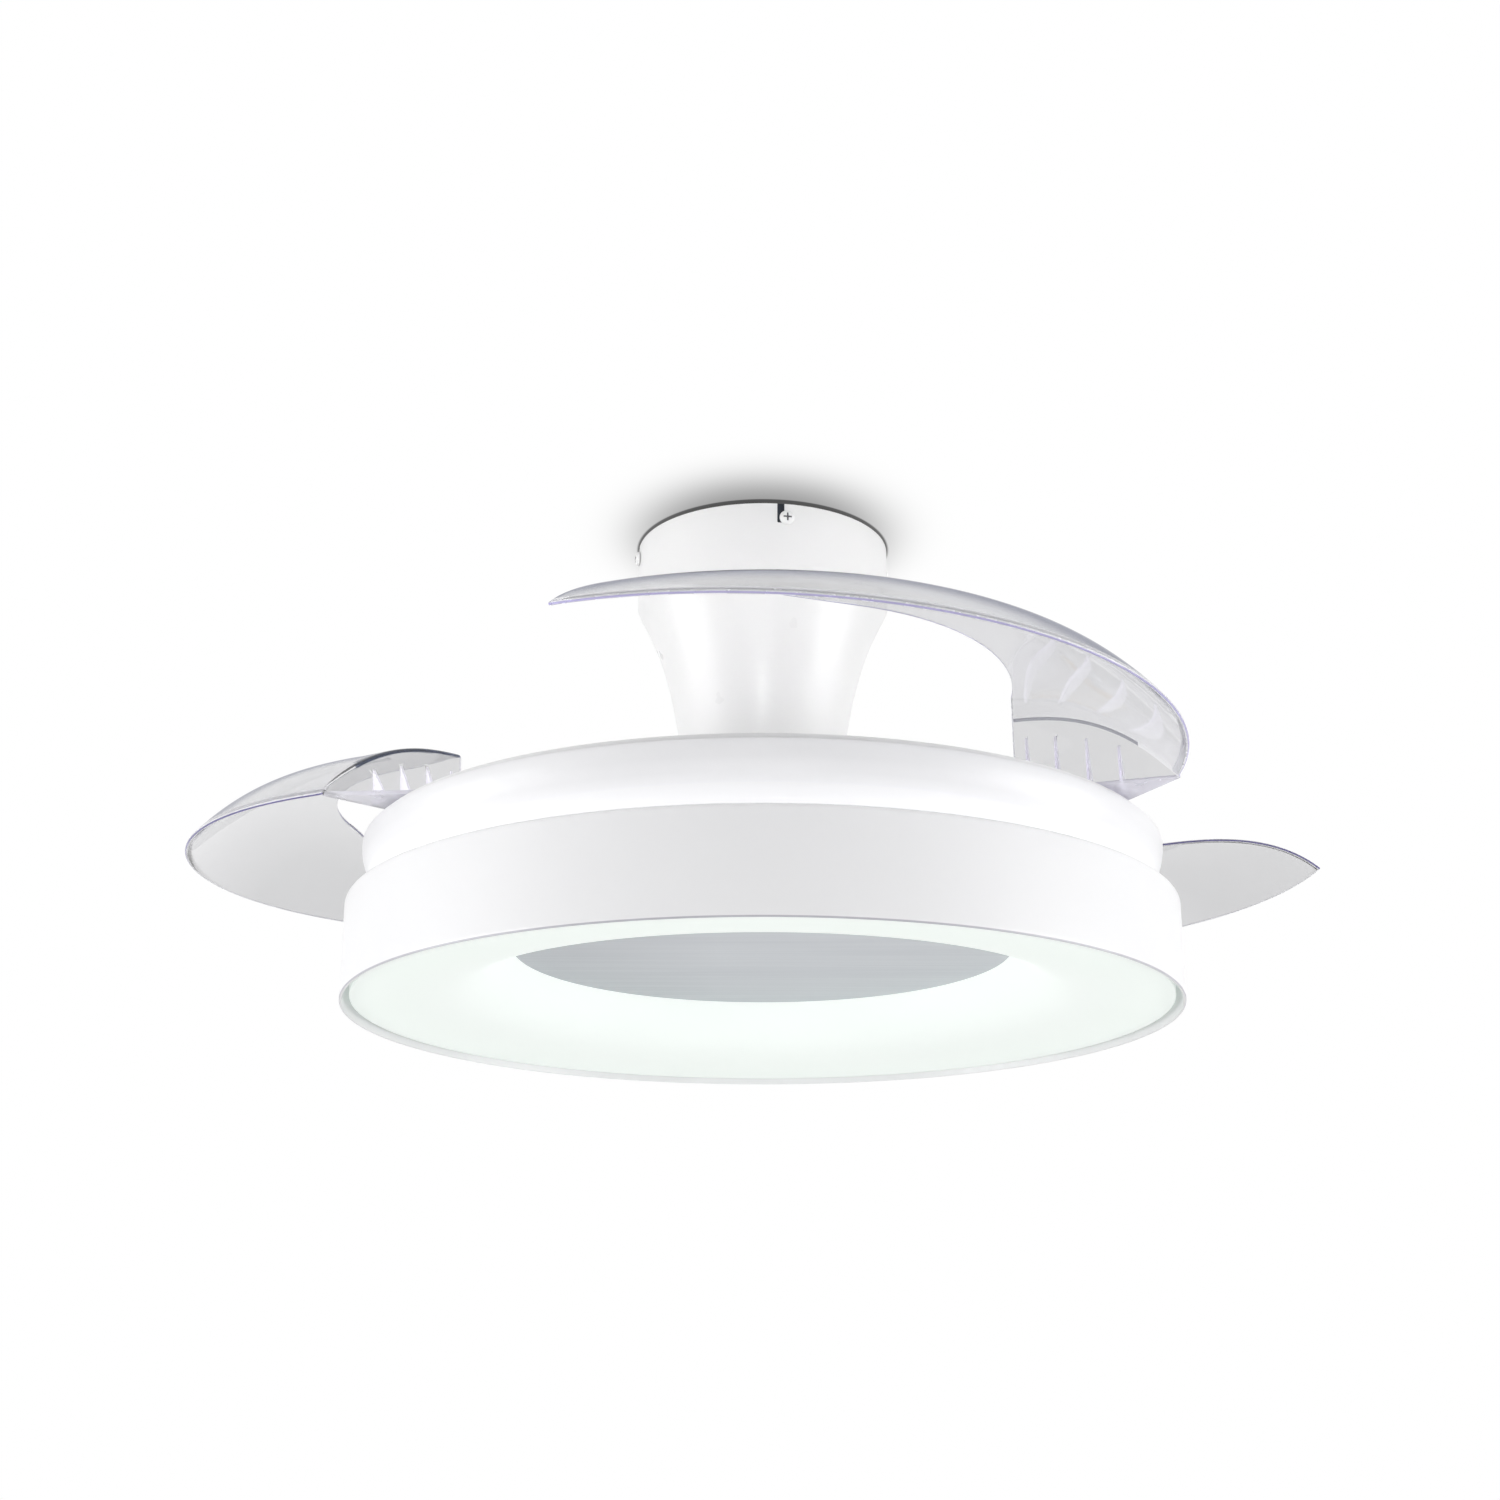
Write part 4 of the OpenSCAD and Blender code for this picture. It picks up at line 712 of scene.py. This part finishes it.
def arc_bar(r0, r1, z0, z1, first, run, count=8):
    """A short bar bent round the axis, with eased ends."""
    outline = [(r0, z0), (r1, z0), (r1, z1), (r0, z1)]
    verts, faces = [], []
    for k in range(count + 1):
        a = math.radians(first + run * k / count)
        ease = 0.12 if k in (0, count) else 0.0
        for r, z in outline:
            zz = z + (0.5 * (z0 + z1) - z) * ease
            verts.append((r * math.cos(a) * MM, r * math.sin(a) * MM, zz * MM))
    for k in range(count):
        for i in range(4):
            j = (i + 1) % 4
            faces.append((4 * k + i, 4 * k + 4 + i, 4 * k + 4 + j, 4 * k + j))
    faces += [(0, 1, 2, 3), tuple(4 * count + i for i in (3, 2, 1, 0))]
    return verts, faces


for i in range(4):
    parts.add(arc_bar(283.8, 288.2, Z_THROAT, Z_THROAT + 2, 30 + 90 * i, 10))
parts.build("light_ring_shell", [M["ring"]], "housing", "light_ring", slot="white_paint")


def trumpet(s):
    return 41.0 * s ** 4.5


run = LIGHT_R - THROAT_R
face = [(LIGHT_R - run * i / 60, Z_RING + 4 + trumpet(i / 60)) for i in range(61)]
back = [(LIGHT_R - run * s + 2.5 * min(1, 1.2 * s), min(Z_THROAT, Z_RING + 4 + trumpet(s) + 2.5))
        for s in [i / 60 for i in range(60, 5, -1)]]
back = [p for i, p in enumerate(back) if not i or math.dist(p, back[i - 1]) > 0.2]
rim = [(LIGHT_R, Z_RING + 4.8), (283.3, Z_RING + 4.2), (282.9, Z_RING + 4.0)]
profile = rim + face[1:] + back
profile += [(281.5, Z_RING + 6.5), (281.5, Z_PAN - 4.3), (281.8, Z_PAN - 4), (283.2, Z_PAN - 4),
            (LIGHT_R, Z_PAN - 4.3), (LIGHT_R, Z_RING + 30)]
parts = Parts().add(lathe_mesh(profile, 240))
for i in range(4):
    parts.add(arc_bar(283.0, 287.7, Z_THROAT + 2, Z_THROAT + 4, 31 + 90 * i, 8))
parts.build("diffuser_shell", [M["opal"]], "housing", "diffuser", slot="opal_plastic")

profile = [(r, Z_THROAT) for r in (0, 60, 120, 170, 182.9)]
profile += [(183.35, Z_THROAT + 0.2), (183.5, Z_THROAT + 0.6), (183.5, Z_THROAT + 1.1)]
profile += [(r, Z_THROAT + 1.5) for r in (183.2, 150, 60, 0)]
verts, faces = lathe_mesh(profile, 180, closed=False)
placed(new_object("centre_plate_disc", verts, faces, [M["brushed"]]), "housing", "centre_plate", slot="alloy")

# ---- LEDs


def led_shell():
    """A square package with a dished yellow window that faces down; returns its two shells."""
    h, r, t = 2.5, 1.8, 0.9
    square = rounded([(-h, -h), (h, -h), (h, h), (-h, h)], 0.4, 3)
    n = len(square)
    ring = [(r * math.cos(math.atan2(y, x)), r * math.sin(math.atan2(y, x))) for x, y in square]
    verts = [(x * MM, y * MM, z * MM) for shape, z in ((square, t), (square, 0), (ring, 0)) for x, y in shape]
    verts += [(x * 0.85 * MM, y * 0.85 * MM, 0.25 * MM) for x, y in ring]
    faces = [tuple(range(n))]
    return (verts, faces + bands(n, 3)), (verts[3 * n:], faces)


case, window = led_shell()
parts = Parts()
for row, radius in enumerate((210.0, 229.0, 248.0)):
    for p in circle(36, radius, row * 5.0):
        q = p @ shift(0, 0, Z_PAN - 2.5)
        parts.add(case, q)
        parts.add(window, q, 1)
parts.build("led_set", [M["package"], M["phosphor"]], "housing", "led_chips", slot="led_yellow")

# ---- windings and springs


def winding_shell():
    """One coil round a pole: enamelled wire side by side, its corners rounded."""
    x0, x1, turns = 44.2, 70.0, 26
    samples = turns * 4
    outer = rounded([(-8.0, -10.4), (8.0, -10.4), (8.0, 10.4), (-8.0, 10.4)], 3.4, 5)
    inner = rounded([(-4.55, -6.05), (4.55, -6.05), (4.55, 6.05), (-4.55, 6.05)], 0.4, 5)
    n = len(outer)
    verts = []
    for k in range(samples + 1):
        x = x0 + (x1 - x0) * k / samples
        dent = 0.42 * (1 - abs(math.sin(math.pi * turns * k / samples)))
        for y, z in outer:
            size = math.hypot(y, z)
            verts.append((x * MM, y * (1 - dent / size) * MM, z * (1 - dent / size) * MM))
    faces = bands(n, samples)
    base = len(verts)
    for x in (x0, x1):
        verts += [(x * MM, y * MM, z * MM) for y, z in inner]
    for i in range(n):
        j = (i + 1) % n
        faces.append((base + i, base + n + i, base + n + j, base + j))
        faces.append((i, base + i, base + j, j))
        faces.append((samples * n + i, samples * n + j, base + n + j, base + n + i))
    return verts, faces


coil = winding_shell()
parts = Parts()
for k in range(12):
    parts.add(coil, turn_z(30 * k) @ shift(0, 0, Z_MID))
parts.build("winding_set", [M["copper"]], "housing", "stator_windings", slot="copper")

for k in range(3):
    near, far = (Vector((118 * math.cos(math.radians(t)), 118 * math.sin(math.radians(t)), 0))
                 for t in (72, 98))
    lay = (far - near).normalized()
    side = Vector((-lay.y, lay.x, 0))
    up = Vector((0, 0, 1))
    length, eye, coils, wire = (far - near).length, 3.1, 30, 0.35
    line = []
    for end, way in ((near, 1), (far, -1)):
        hook = [end - lay * way * 2.4 * math.cos(math.radians(a)) + side * 2.4 * math.sin(math.radians(a))
                for a in range(-150, 151, 20)]
        line.append(hook if way == 1 else hook[::-1])
    spiral = []
    count = coils * 14
    for i in range(count + 1):
        a = 2 * math.pi * coils * i / count
        grow = min(1.0, i / 10, (count - i) / 10)
        spiral.append(near + lay * (eye + (length - 2 * eye) * i / count)
                      + (side * math.cos(a) + up * math.sin(a)) * 2.2 * (0.35 + 0.65 * grow))
    path = line[0] + spiral + line[1]
    place = turn_z(PIVOT_TURN + 120 * k) @ shift(0, 0, Z_CARRIER_TOP + 3)
    verts, faces = tube([place @ (p * MM) for p in path], wire * MM, 8)
    spring = new_object(f"return_spring_{k + 1}", verts, faces, [M["bright_steel"]])
    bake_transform(spring)
    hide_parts("return_springs")

# ---- blades

OUT_R, IN_R, SWEEP, TIP, BLADE_T, SLANT = 264.4, 158.2, 115.4, 45.0, 2.4, 19.0


def edge_r(deg):
    return IN_R if deg <= 0 else IN_R / math.cos(math.radians(deg)) + 0.37 * deg


def arc_r(deg, s):
    return OUT_R + (edge_r(deg) - OUT_R) * s


def step_deg(s):
    a = 0.0
    for _ in range(4):
        a = math.degrees(math.asin(93.0 / arc_r(a, s))) - SLANT
    return a


def tip_deg(s):
    return -(SWEEP - TIP) - TIP * math.sqrt(max(0.0, 1 - s ** 1.7))


def skin_z(deg, s):
    u = max(0.0, -deg / SWEEP)
    crown = 49.0 - 15.4 * u * u
    return Z_PAD + PAD_T / 2 + 17.5 * u + crown * (1 - (1 - s) ** 2.7)


def arc_point(deg, s, z):
    r, a = arc_r(deg, s), math.radians(deg)
    return Vector((r * math.cos(a), r * math.sin(a) - OFFSET, z))


def beside_step(s, distance, z):
    return arc_point(step_deg(s), s, z) + turn_z(-SLANT) @ Vector((0, distance, 0))


ROWS, COLS = 110, 34
# last rows of the sheet's wall, of the crease at its corner and of the fold, and the end of the light strip,
# a painted highlight along the outer edge
WALL_END, CREASE_END, FOLD_END, STRIP_END = 6, 10, 12, 56
# slots of a blade's mesh, and what fills them on the first blade
LOWER, EDGE, RIB, CREASE, WALL, UPPER, RIM, PAD, FOLD, TIP_STRIP, STRIP = range(11)
BLADE_FINISH = ("clear_1", "edge_1", "root", "crease_1", "wall", "upper_1", "rim", "pad", "upper_1",
                "strip", "strip")


def col_s(c):
    s = c / COLS
    return (s + math.sin(math.pi / 2 * s)) / 2


def column(s):
    """Middle line of the sheet at one share across: up the wall, round the corner, along the skin."""
    a0, a1 = step_deg(s), tip_deg(s)
    foot = beside_step(s, 3.0, Z_PAD + PAD_T / 2)
    corner = arc_point(a0, s, skin_z(a0, s))
    wall = (foot - corner).length
    first = min(0.03, 3.2 / max(1e-6, math.radians(a0 - a1) * arc_r(0, s)))
    skin = []
    for i in range(ROWS + 1):
        t = first + (1 - first) * i / ROWS
        a = a0 + (a1 - a0) * t
        skin.append(arc_point(a, s, skin_z(a, s)))
    bend = min(3.2, wall * 0.45)
    low = corner + (foot - corner).normalized() * bend if wall > 1e-6 else corner
    up = [foot + (low - foot) * i / 6 for i in range(7)]
    turn = [low * (1 - t) ** 2 + corner * 2 * t * (1 - t) + skin[0] * t ** 2
            for t in (0.17, 0.34, 0.5, 0.66, 0.83)]
    return up + turn + skin


def blade_sheet():
    """The moulded sheet of one blade with a half-round edge; a number says what each face is made of."""
    grid = [column(col_s(c)) for c in range(COLS + 1)]
    rows, cols = len(grid[0]), COLS + 1

    def at(r, c):
        return grid[c][r]

    def normal(r, c):
        along = at(min(r + 1, rows - 1), c) - at(max(r - 1, 0), c)
        across = at(r, min(c + 1, cols - 1)) - at(r, max(c - 1, 0))
        if across.length < 0.05:
            q = min(max(r, 8), rows - 1)
            across = at(q, min(c + 1, cols - 1)) - at(q, max(c - 1, 0))
        return across.cross(along).normalized()

    half = BLADE_T / 2
    norms = [[normal(r, c) for c in range(cols)] for r in range(rows)]

    def outward(r, c):
        """Way out of the sheet at its edge."""
        if c == 0:
            d = at(r, 0) - at(r, 2)
        elif c == cols - 1:
            d = at(r, c) - at(r, c - 2)
        else:
            d = at(r, c) - at(r - 2, c)
        if r == rows - 1 and c in (0, cols - 1):
            d = d.normalized() + (at(r, c) - at(r - 2, c)).normalized()
        n = norms[r][c]
        d = d - n * d.dot(n)
        return d.normalized()

    def on_edge(r, c):
        return r == rows - 1 or c in (0, cols - 1)

    verts = []
    for sign in (1, -1):
        for r in range(rows):
            for c in range(cols):
                p = at(r, c) + norms[r][c] * half * sign
                if on_edge(r, c) and r > 0:
                    p -= outward(r, c) * half * 0.8
                verts.append(p * MM)
    count = rows * cols
    faces, index = [], []
    for r in range(rows - 1):
        for c in range(cols - 1):
            a, b, d, e = r * cols + c, r * cols + c + 1, (r + 1) * cols + c, (r + 1) * cols + c + 1
            faces.append((a, d, e, b))
            if r <= WALL_END:
                kind = WALL
            elif r <= CREASE_END and col_s(c) > 0.2:
                kind = CREASE
            elif CREASE_END < r <= FOLD_END and 0.26 < col_s(c) < 0.8:
                kind = FOLD
            elif c == 0:
                kind = STRIP if r < STRIP_END else TIP_STRIP
            else:
                kind = UPPER
            index.append(kind)
            faces.append((a + count, b + count, e + count, d + count))
            index.append(WALL if r <= WALL_END else LOWER)
    edge = [(r, 0) for r in range(rows)] + [(rows - 1, c) for c in range(1, cols)]
    edge += [(r, cols - 1) for r in range(rows - 2, -1, -1)]
    loops = []
    angles = [30, 60, 90, 120, 150]
    for r, c in edge:
        n, d = norms[r][c], outward(r, c)
        ring_ids = [r * cols + c]
        for deg in angles:
            t = math.radians(deg)
            verts.append((at(r, c) + n * half * math.cos(t) + d * half * 0.8 * (math.sin(t) - 1)) * MM)
            ring_ids.append(len(verts) - 1)
        ring_ids.append(r * cols + c + count)
        loops.append(ring_ids)
    for i in range(len(loops) - 1):
        for k in range(len(angles) + 1):
            faces.append((loops[i][k], loops[i + 1][k], loops[i + 1][k + 1], loops[i][k + 1]))
            index.append(EDGE if 2 <= k <= 3 else RIM)
    # foot of the wall, inside the pad
    for c in range(cols - 1):
        faces.append((c, c + 1, c + 1 + count, c + count))
        index.append(LOWER)
    faces += [tuple(loops[0]), tuple(reversed(loops[-1]))]
    index += [LOWER, LOWER]
    return verts, faces, index


def pad_outline():
    """Plan of the pad: straight sides from the ends of the step to the round about the hub."""
    hub = Vector((PIVOT_X, PIVOT_Y))
    ends = [beside_step(s, 3.0 - BLADE_T / 2, 0).to_2d() for s in (1, 0)]
    turns = []
    for p, side in ((ends[1], 1), (ends[0], -1)):
        reach = p - hub
        turn = math.atan2(reach.y, reach.x) + side * math.acos(HUB_R / reach.length)
        way = Vector((27 * math.cos(turn), 27 * math.sin(turn))) - reach
        # where that side crosses the round
        t = next(i / 400 for i in range(401) if (reach + way * i / 400).length <= HUB_R or i == 400)
        q = reach + way * t
        turns.append(math.atan2(q.y, q.x) % (2 * math.pi))
    arc = [hub + Vector((HUB_R * math.cos(a), HUB_R * math.sin(a)))
           for a in (turns[0] + (turns[1] - turns[0]) * i / 22 for i in range(23))]
    return [tuple(p) for p in ends + arc]


def eased_prism(outline, z0, z1, ease=0.5):
    """A plate with its upper and lower edges eased."""
    n = len(outline)
    centre = Vector((sum(p[0] for p in outline) / n, sum(p[1] for p in outline) / n))

    def inset(p, d):
        v = Vector(p) - centre
        return centre + v * (1 - d / v.length)

    levels = [(z0, ease), (z0 + ease * 0.3, ease * 0.3), (z0 + ease, 0), (z1 - ease, 0),
              (z1 - ease * 0.3, ease * 0.3), (z1, ease)]
    verts = []
    for z, d in levels:
        for p in outline:
            q = inset(p, d)
            verts.append((q.x * MM, q.y * MM, z * MM))
    top = len(levels) - 1
    return verts, bands(n, top) + [tuple(reversed(range(n))), tuple(top * n + i for i in range(n))]


def blade():
    mats = [M[name] for name in BLADE_FINISH]
    verts, faces, index = blade_sheet()
    sheet = new_object("sheet", verts, faces, mats, index)
    verts, faces = eased_prism(pad_outline(), Z_PAD, Z_PAD_TOP)
    pad = new_object("pad", verts, faces, mats, [PAD] * len(faces))

    def drill(name, radius, count, place):
        verts, faces = lathe_mesh([(0, Z_PAD - 2), (radius, Z_PAD - 2), (radius, Z_PAD_TOP + 2),
                                   (0, Z_PAD_TOP + 2)], count, closed=False)
        return new_object(name, moved(verts, place), faces, [])

    drills = [drill("bore", 11.55, 48, pivots[0])]
    drills += [drill(f"drill_{i}", 2.0, 20, pivots[0] @ q) for i, q in enumerate(circle(3, HUB_SCREWS_R, 90))]
    cut(pad, drills)
    cut(sheet, [pad], "UNION")
    ribs = []
    for i in range(4):
        s = 0.907 - 0.19 * i
        foot = beside_step(s, 3.0, 0)
        rise = (skin_z(0, s) - Z_PAD_TOP) * 0.75
        outline = [(-0.5, -0.05), (17, -0.05), (0.6 - 2.25, rise), (-2.25, rise)]
        outline = rounded(outline, [0, 0, 0.8, 0])
        verts, faces = prism(outline, -0.9, 0.9)
        place = shift(foot.x, foot.y, Z_PAD_TOP) @ turn_z(-SLANT) @ UPRIGHT
        ribs.append(new_object(f"rib_{i}", moved(verts, place), faces, mats, [RIB] * len(faces)))
    cut(sheet, ribs, "UNION", tolerant=True)
    return sheet


first_blade = blade()
blade_shell = first_blade.data
bpy.data.objects.remove(first_blade, do_unlink=True)
for k in range(3):
    mesh = blade_shell.copy()
    mesh.transform(turn_z(-120 * k))
    own = {LOWER: "clear", EDGE: "edge", CREASE: "crease", UPPER: "upper"}
    # blades 2 and 3 take the dark crease finish on the fold too, painted shade, and the clear upper finish at
    # the tip end of the strip
    if k:
        own.update({FOLD: "crease", TIP_STRIP: "upper"})
    for slot, name in own.items():
        mesh.materials[slot] = M[f"{name}_{k + 1}"]
    obj = bpy.data.objects.new(f"blade_moulding_{k + 1}", mesh)
    scene.collection.objects.link(obj)
    # clear sheet throws next to no shadow
    obj.visible_shadow = False
    placed(obj, f"blade_{k + 1}_body", f"blade_{k + 1}", slot="clear_plastic")

# ---- the rest of the construction, with its finishes

FINISH = {
    "ceiling_bracket": "black", "hollow_shaft": "bright_steel", "terminal_block": "plastic",
    "receiver_box": "plastic", "wiring_loom": "sheath", "shaft_nuts": "steel", "stator_hub": "alloy",
    "stator_core": "iron", "bearing_inner_races": "bright_steel", "bearing_outer_races": "bright_steel",
    "bearing_balls": "bright_steel", "light_pan": "paint", "led_board": "mask", "led_driver": "plastic",
    "plate_spacers": "steel", "lower_bell": "alloy", "upper_bell": "alloy", "magnets": "magnet",
    "carrier_plate": "alloy", "pivot_pins": "bright_steel", "dust_cover": "plastic", "stop_bumpers": "rubber",
    "sync_gear": "gear",
}
for k in (1, 2, 3):
    FINISH[f"blade_hub_{k}"] = "gear"
    FINISH[f"blade_bush_{k}"] = "bronze"

ROUNDED = {"ceiling_bracket": 0.4, "terminal_block": 0.5, "receiver_box": 0.6, "shaft_nuts": 0.5,
           "led_driver": 0.6, "lower_bell": 0.5, "upper_bell": 0.5, "dust_cover": 0.4, "hollow_shaft": 0.4,
           "carrier_plate": 0.4,
           "stator_hub": 0.4, "magnets": 0.3, "light_pan": 0.3, "pivot_pins": 0.3, "plate_spacers": 0.3,
           "stop_bumpers": 0.5}
for name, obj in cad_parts.items():
    if name in FINISH:
        obj.data.materials.clear()
        obj.data.materials.append(M[FINISH[name]])
        weld = obj.modifiers.new("weld", "WELD")
        weld.merge_threshold = 1e-6
        flat = obj.modifiers.new("flat", "DECIMATE")
        flat.decimate_type = "DISSOLVE"
        flat.angle_limit = math.radians(0.5)
        if name in ROUNDED:
            bevel = obj.modifiers.new("round", "BEVEL")
            bevel.width = ROUNDED[name] * MM
            bevel.segments = 2
            bevel.limit_method = "ANGLE"
            bevel.angle_limit = math.radians(50)
            bevel.use_clamp_overlap = True
            bevel.harden_normals = False
            bevel.loop_slide = False

# ---- stage, light and camera


def stage_plane(name, size, z, faces_down, mat):
    s = size / 2
    verts = [(-s, -s, z), (s, -s, z), (s, s, z), (-s, s, z)]
    mesh = bpy.data.meshes.new(name)
    mesh.from_pydata(verts, [], [(3, 2, 1, 0) if faces_down else (0, 1, 2, 3)])
    mesh.materials.append(mat)
    obj = bpy.data.objects.new(name, mesh)
    scene.collection.objects.link(obj)


def maths(tree, operation, first, second=None):
    """A maths node of one or two sockets or numbers."""
    node = tree.nodes.new("ShaderNodeMath")
    node.operation = operation
    for socket, value in zip(node.inputs, (first, second)):
        if isinstance(value, float):
            socket.default_value = value
        elif value is not None:
            tree.links.new(value, socket)
    return node.outputs[0]


def seen(tree):
    """1 to the camera, also in a reflection or through glass, and 0 to other light."""
    path = tree.nodes.new("ShaderNodeLightPath")
    value = path.outputs["Is Camera Ray"]
    for other in ("Is Glossy Ray", "Is Transmission Ray"):
        value = maths(tree, "MAXIMUM", value, path.outputs[other])
    return value


def either(tree, *sockets):
    """Mixes two shaders: a factor, then the shader at 0 and the one at 1."""
    mix = tree.nodes.new("ShaderNodeMixShader")
    for value, socket in zip(sockets, mix.inputs):
        tree.links.new(value, socket)
    return mix.outputs[0]


def pale_stage(name, shadow):
    """White to the eye, pale to the light, and nothing at all from behind; a shadow lies round the canopy."""
    mat, tree, _ = nodes_of(name)
    tree.nodes.clear()
    diffuse = tree.nodes.new("ShaderNodeBsdfDiffuse")
    preset(diffuse, {"Color": (0.82, 0.82, 0.82, 1)})
    glow = tree.nodes.new("ShaderNodeEmission")
    preset(glow, {"Color": (1, 1, 1, 1)})
    if shadow:
        # painted shadow: an oval that fades from its rim outward
        value = plan_length(tree, (26.9, 22.573, 0), (0, 0.5375, 0))
        for operation, other in (("SUBTRACT", 1.0), ("MAXIMUM", 0.0), ("DIVIDE", 1.566), ("POWER", 3.0),
                                 ("MULTIPLY", -1.0), ("EXPONENT", None), ("MULTIPLY", -0.6896), ("ADD", 1.0)):
            value = maths(tree, operation, value, other)
        # painted shade: the dark line where the canopy meets it
        line = spread(tree, plan_length(tree, (1, 0.966, 0)), 0.25, 1.0, 0.0924, 0.0938)
        tree.links.new(maths(tree, "MULTIPLY", value, line), glow.inputs["Strength"])
    shown = either(tree, seen(tree), diffuse.outputs[0], glow.outputs[0])
    side = tree.nodes.new("ShaderNodeNewGeometry")
    gone = tree.nodes.new("ShaderNodeBsdfTransparent")
    out = tree.nodes.new("ShaderNodeOutputMaterial")
    tree.links.new(either(tree, side.outputs["Backfacing"], shown, gone.outputs[0]), out.inputs["Surface"])
    return mat


stage_plane("ceiling", 8.0, 0.0006, True, pale_stage("ceiling_white", True))
stage_plane("floor", 12.0, -2.4, False, pale_stage("floor_white", False))

world = bpy.data.worlds.new("studio")
scene.world = world
world.use_nodes = True
tree = world.node_tree
background = tree.nodes["Background"]
preset(background, {"Color": (1, 1, 1, 1)})
tree.links.new(spread(tree, seen(tree), 0.65, 1.0, 0.0, 1.0), background.inputs["Strength"])


def area(name, place, aim, size, power, beam=180.0):
    data = bpy.data.lights.new(name, "AREA")
    data.shape = "RECTANGLE"
    data.size, data.size_y = size
    data.energy = power
    data.spread = math.radians(beam)
    obj = bpy.data.objects.new(name, data)
    obj.location = place
    way = Vector(aim) - Vector(place)
    obj.rotation_euler = way.to_track_quat("-Z", "Y").to_euler()
    scene.collection.objects.link(obj)


area("left_soft", (-2.2, -0.5, -0.5), (0, 0, -0.28), (1.6, 1.2), 24)
area("right_soft", (2.2, -0.5, -0.5), (0, 0, -0.28), (1.6, 1.2), 24)
area("front_low", (0, -2.4, -1.5), (0, 0, -0.25), (1.8, 1.0), 9)
area("canopy_front", (0, -1.7, -0.2), (0, 0, -0.08), (0.3, 0.1), 0.028, 12.0)

camera = bpy.data.cameras.new("camera")
camera.lens = 52.45
camera.sensor_width = 36.0
camera.shift_x = -0.0084
camera.clip_start = 0.05
camera.clip_end = 60
eye = bpy.data.objects.new("camera", camera)
eye.location = (0, -1.5024, -0.6437)
eye.rotation_euler = (math.radians(90 + 18.07), 0, 0)
scene.collection.objects.link(eye)
scene.camera = eye

bpy.context.view_layer.update()
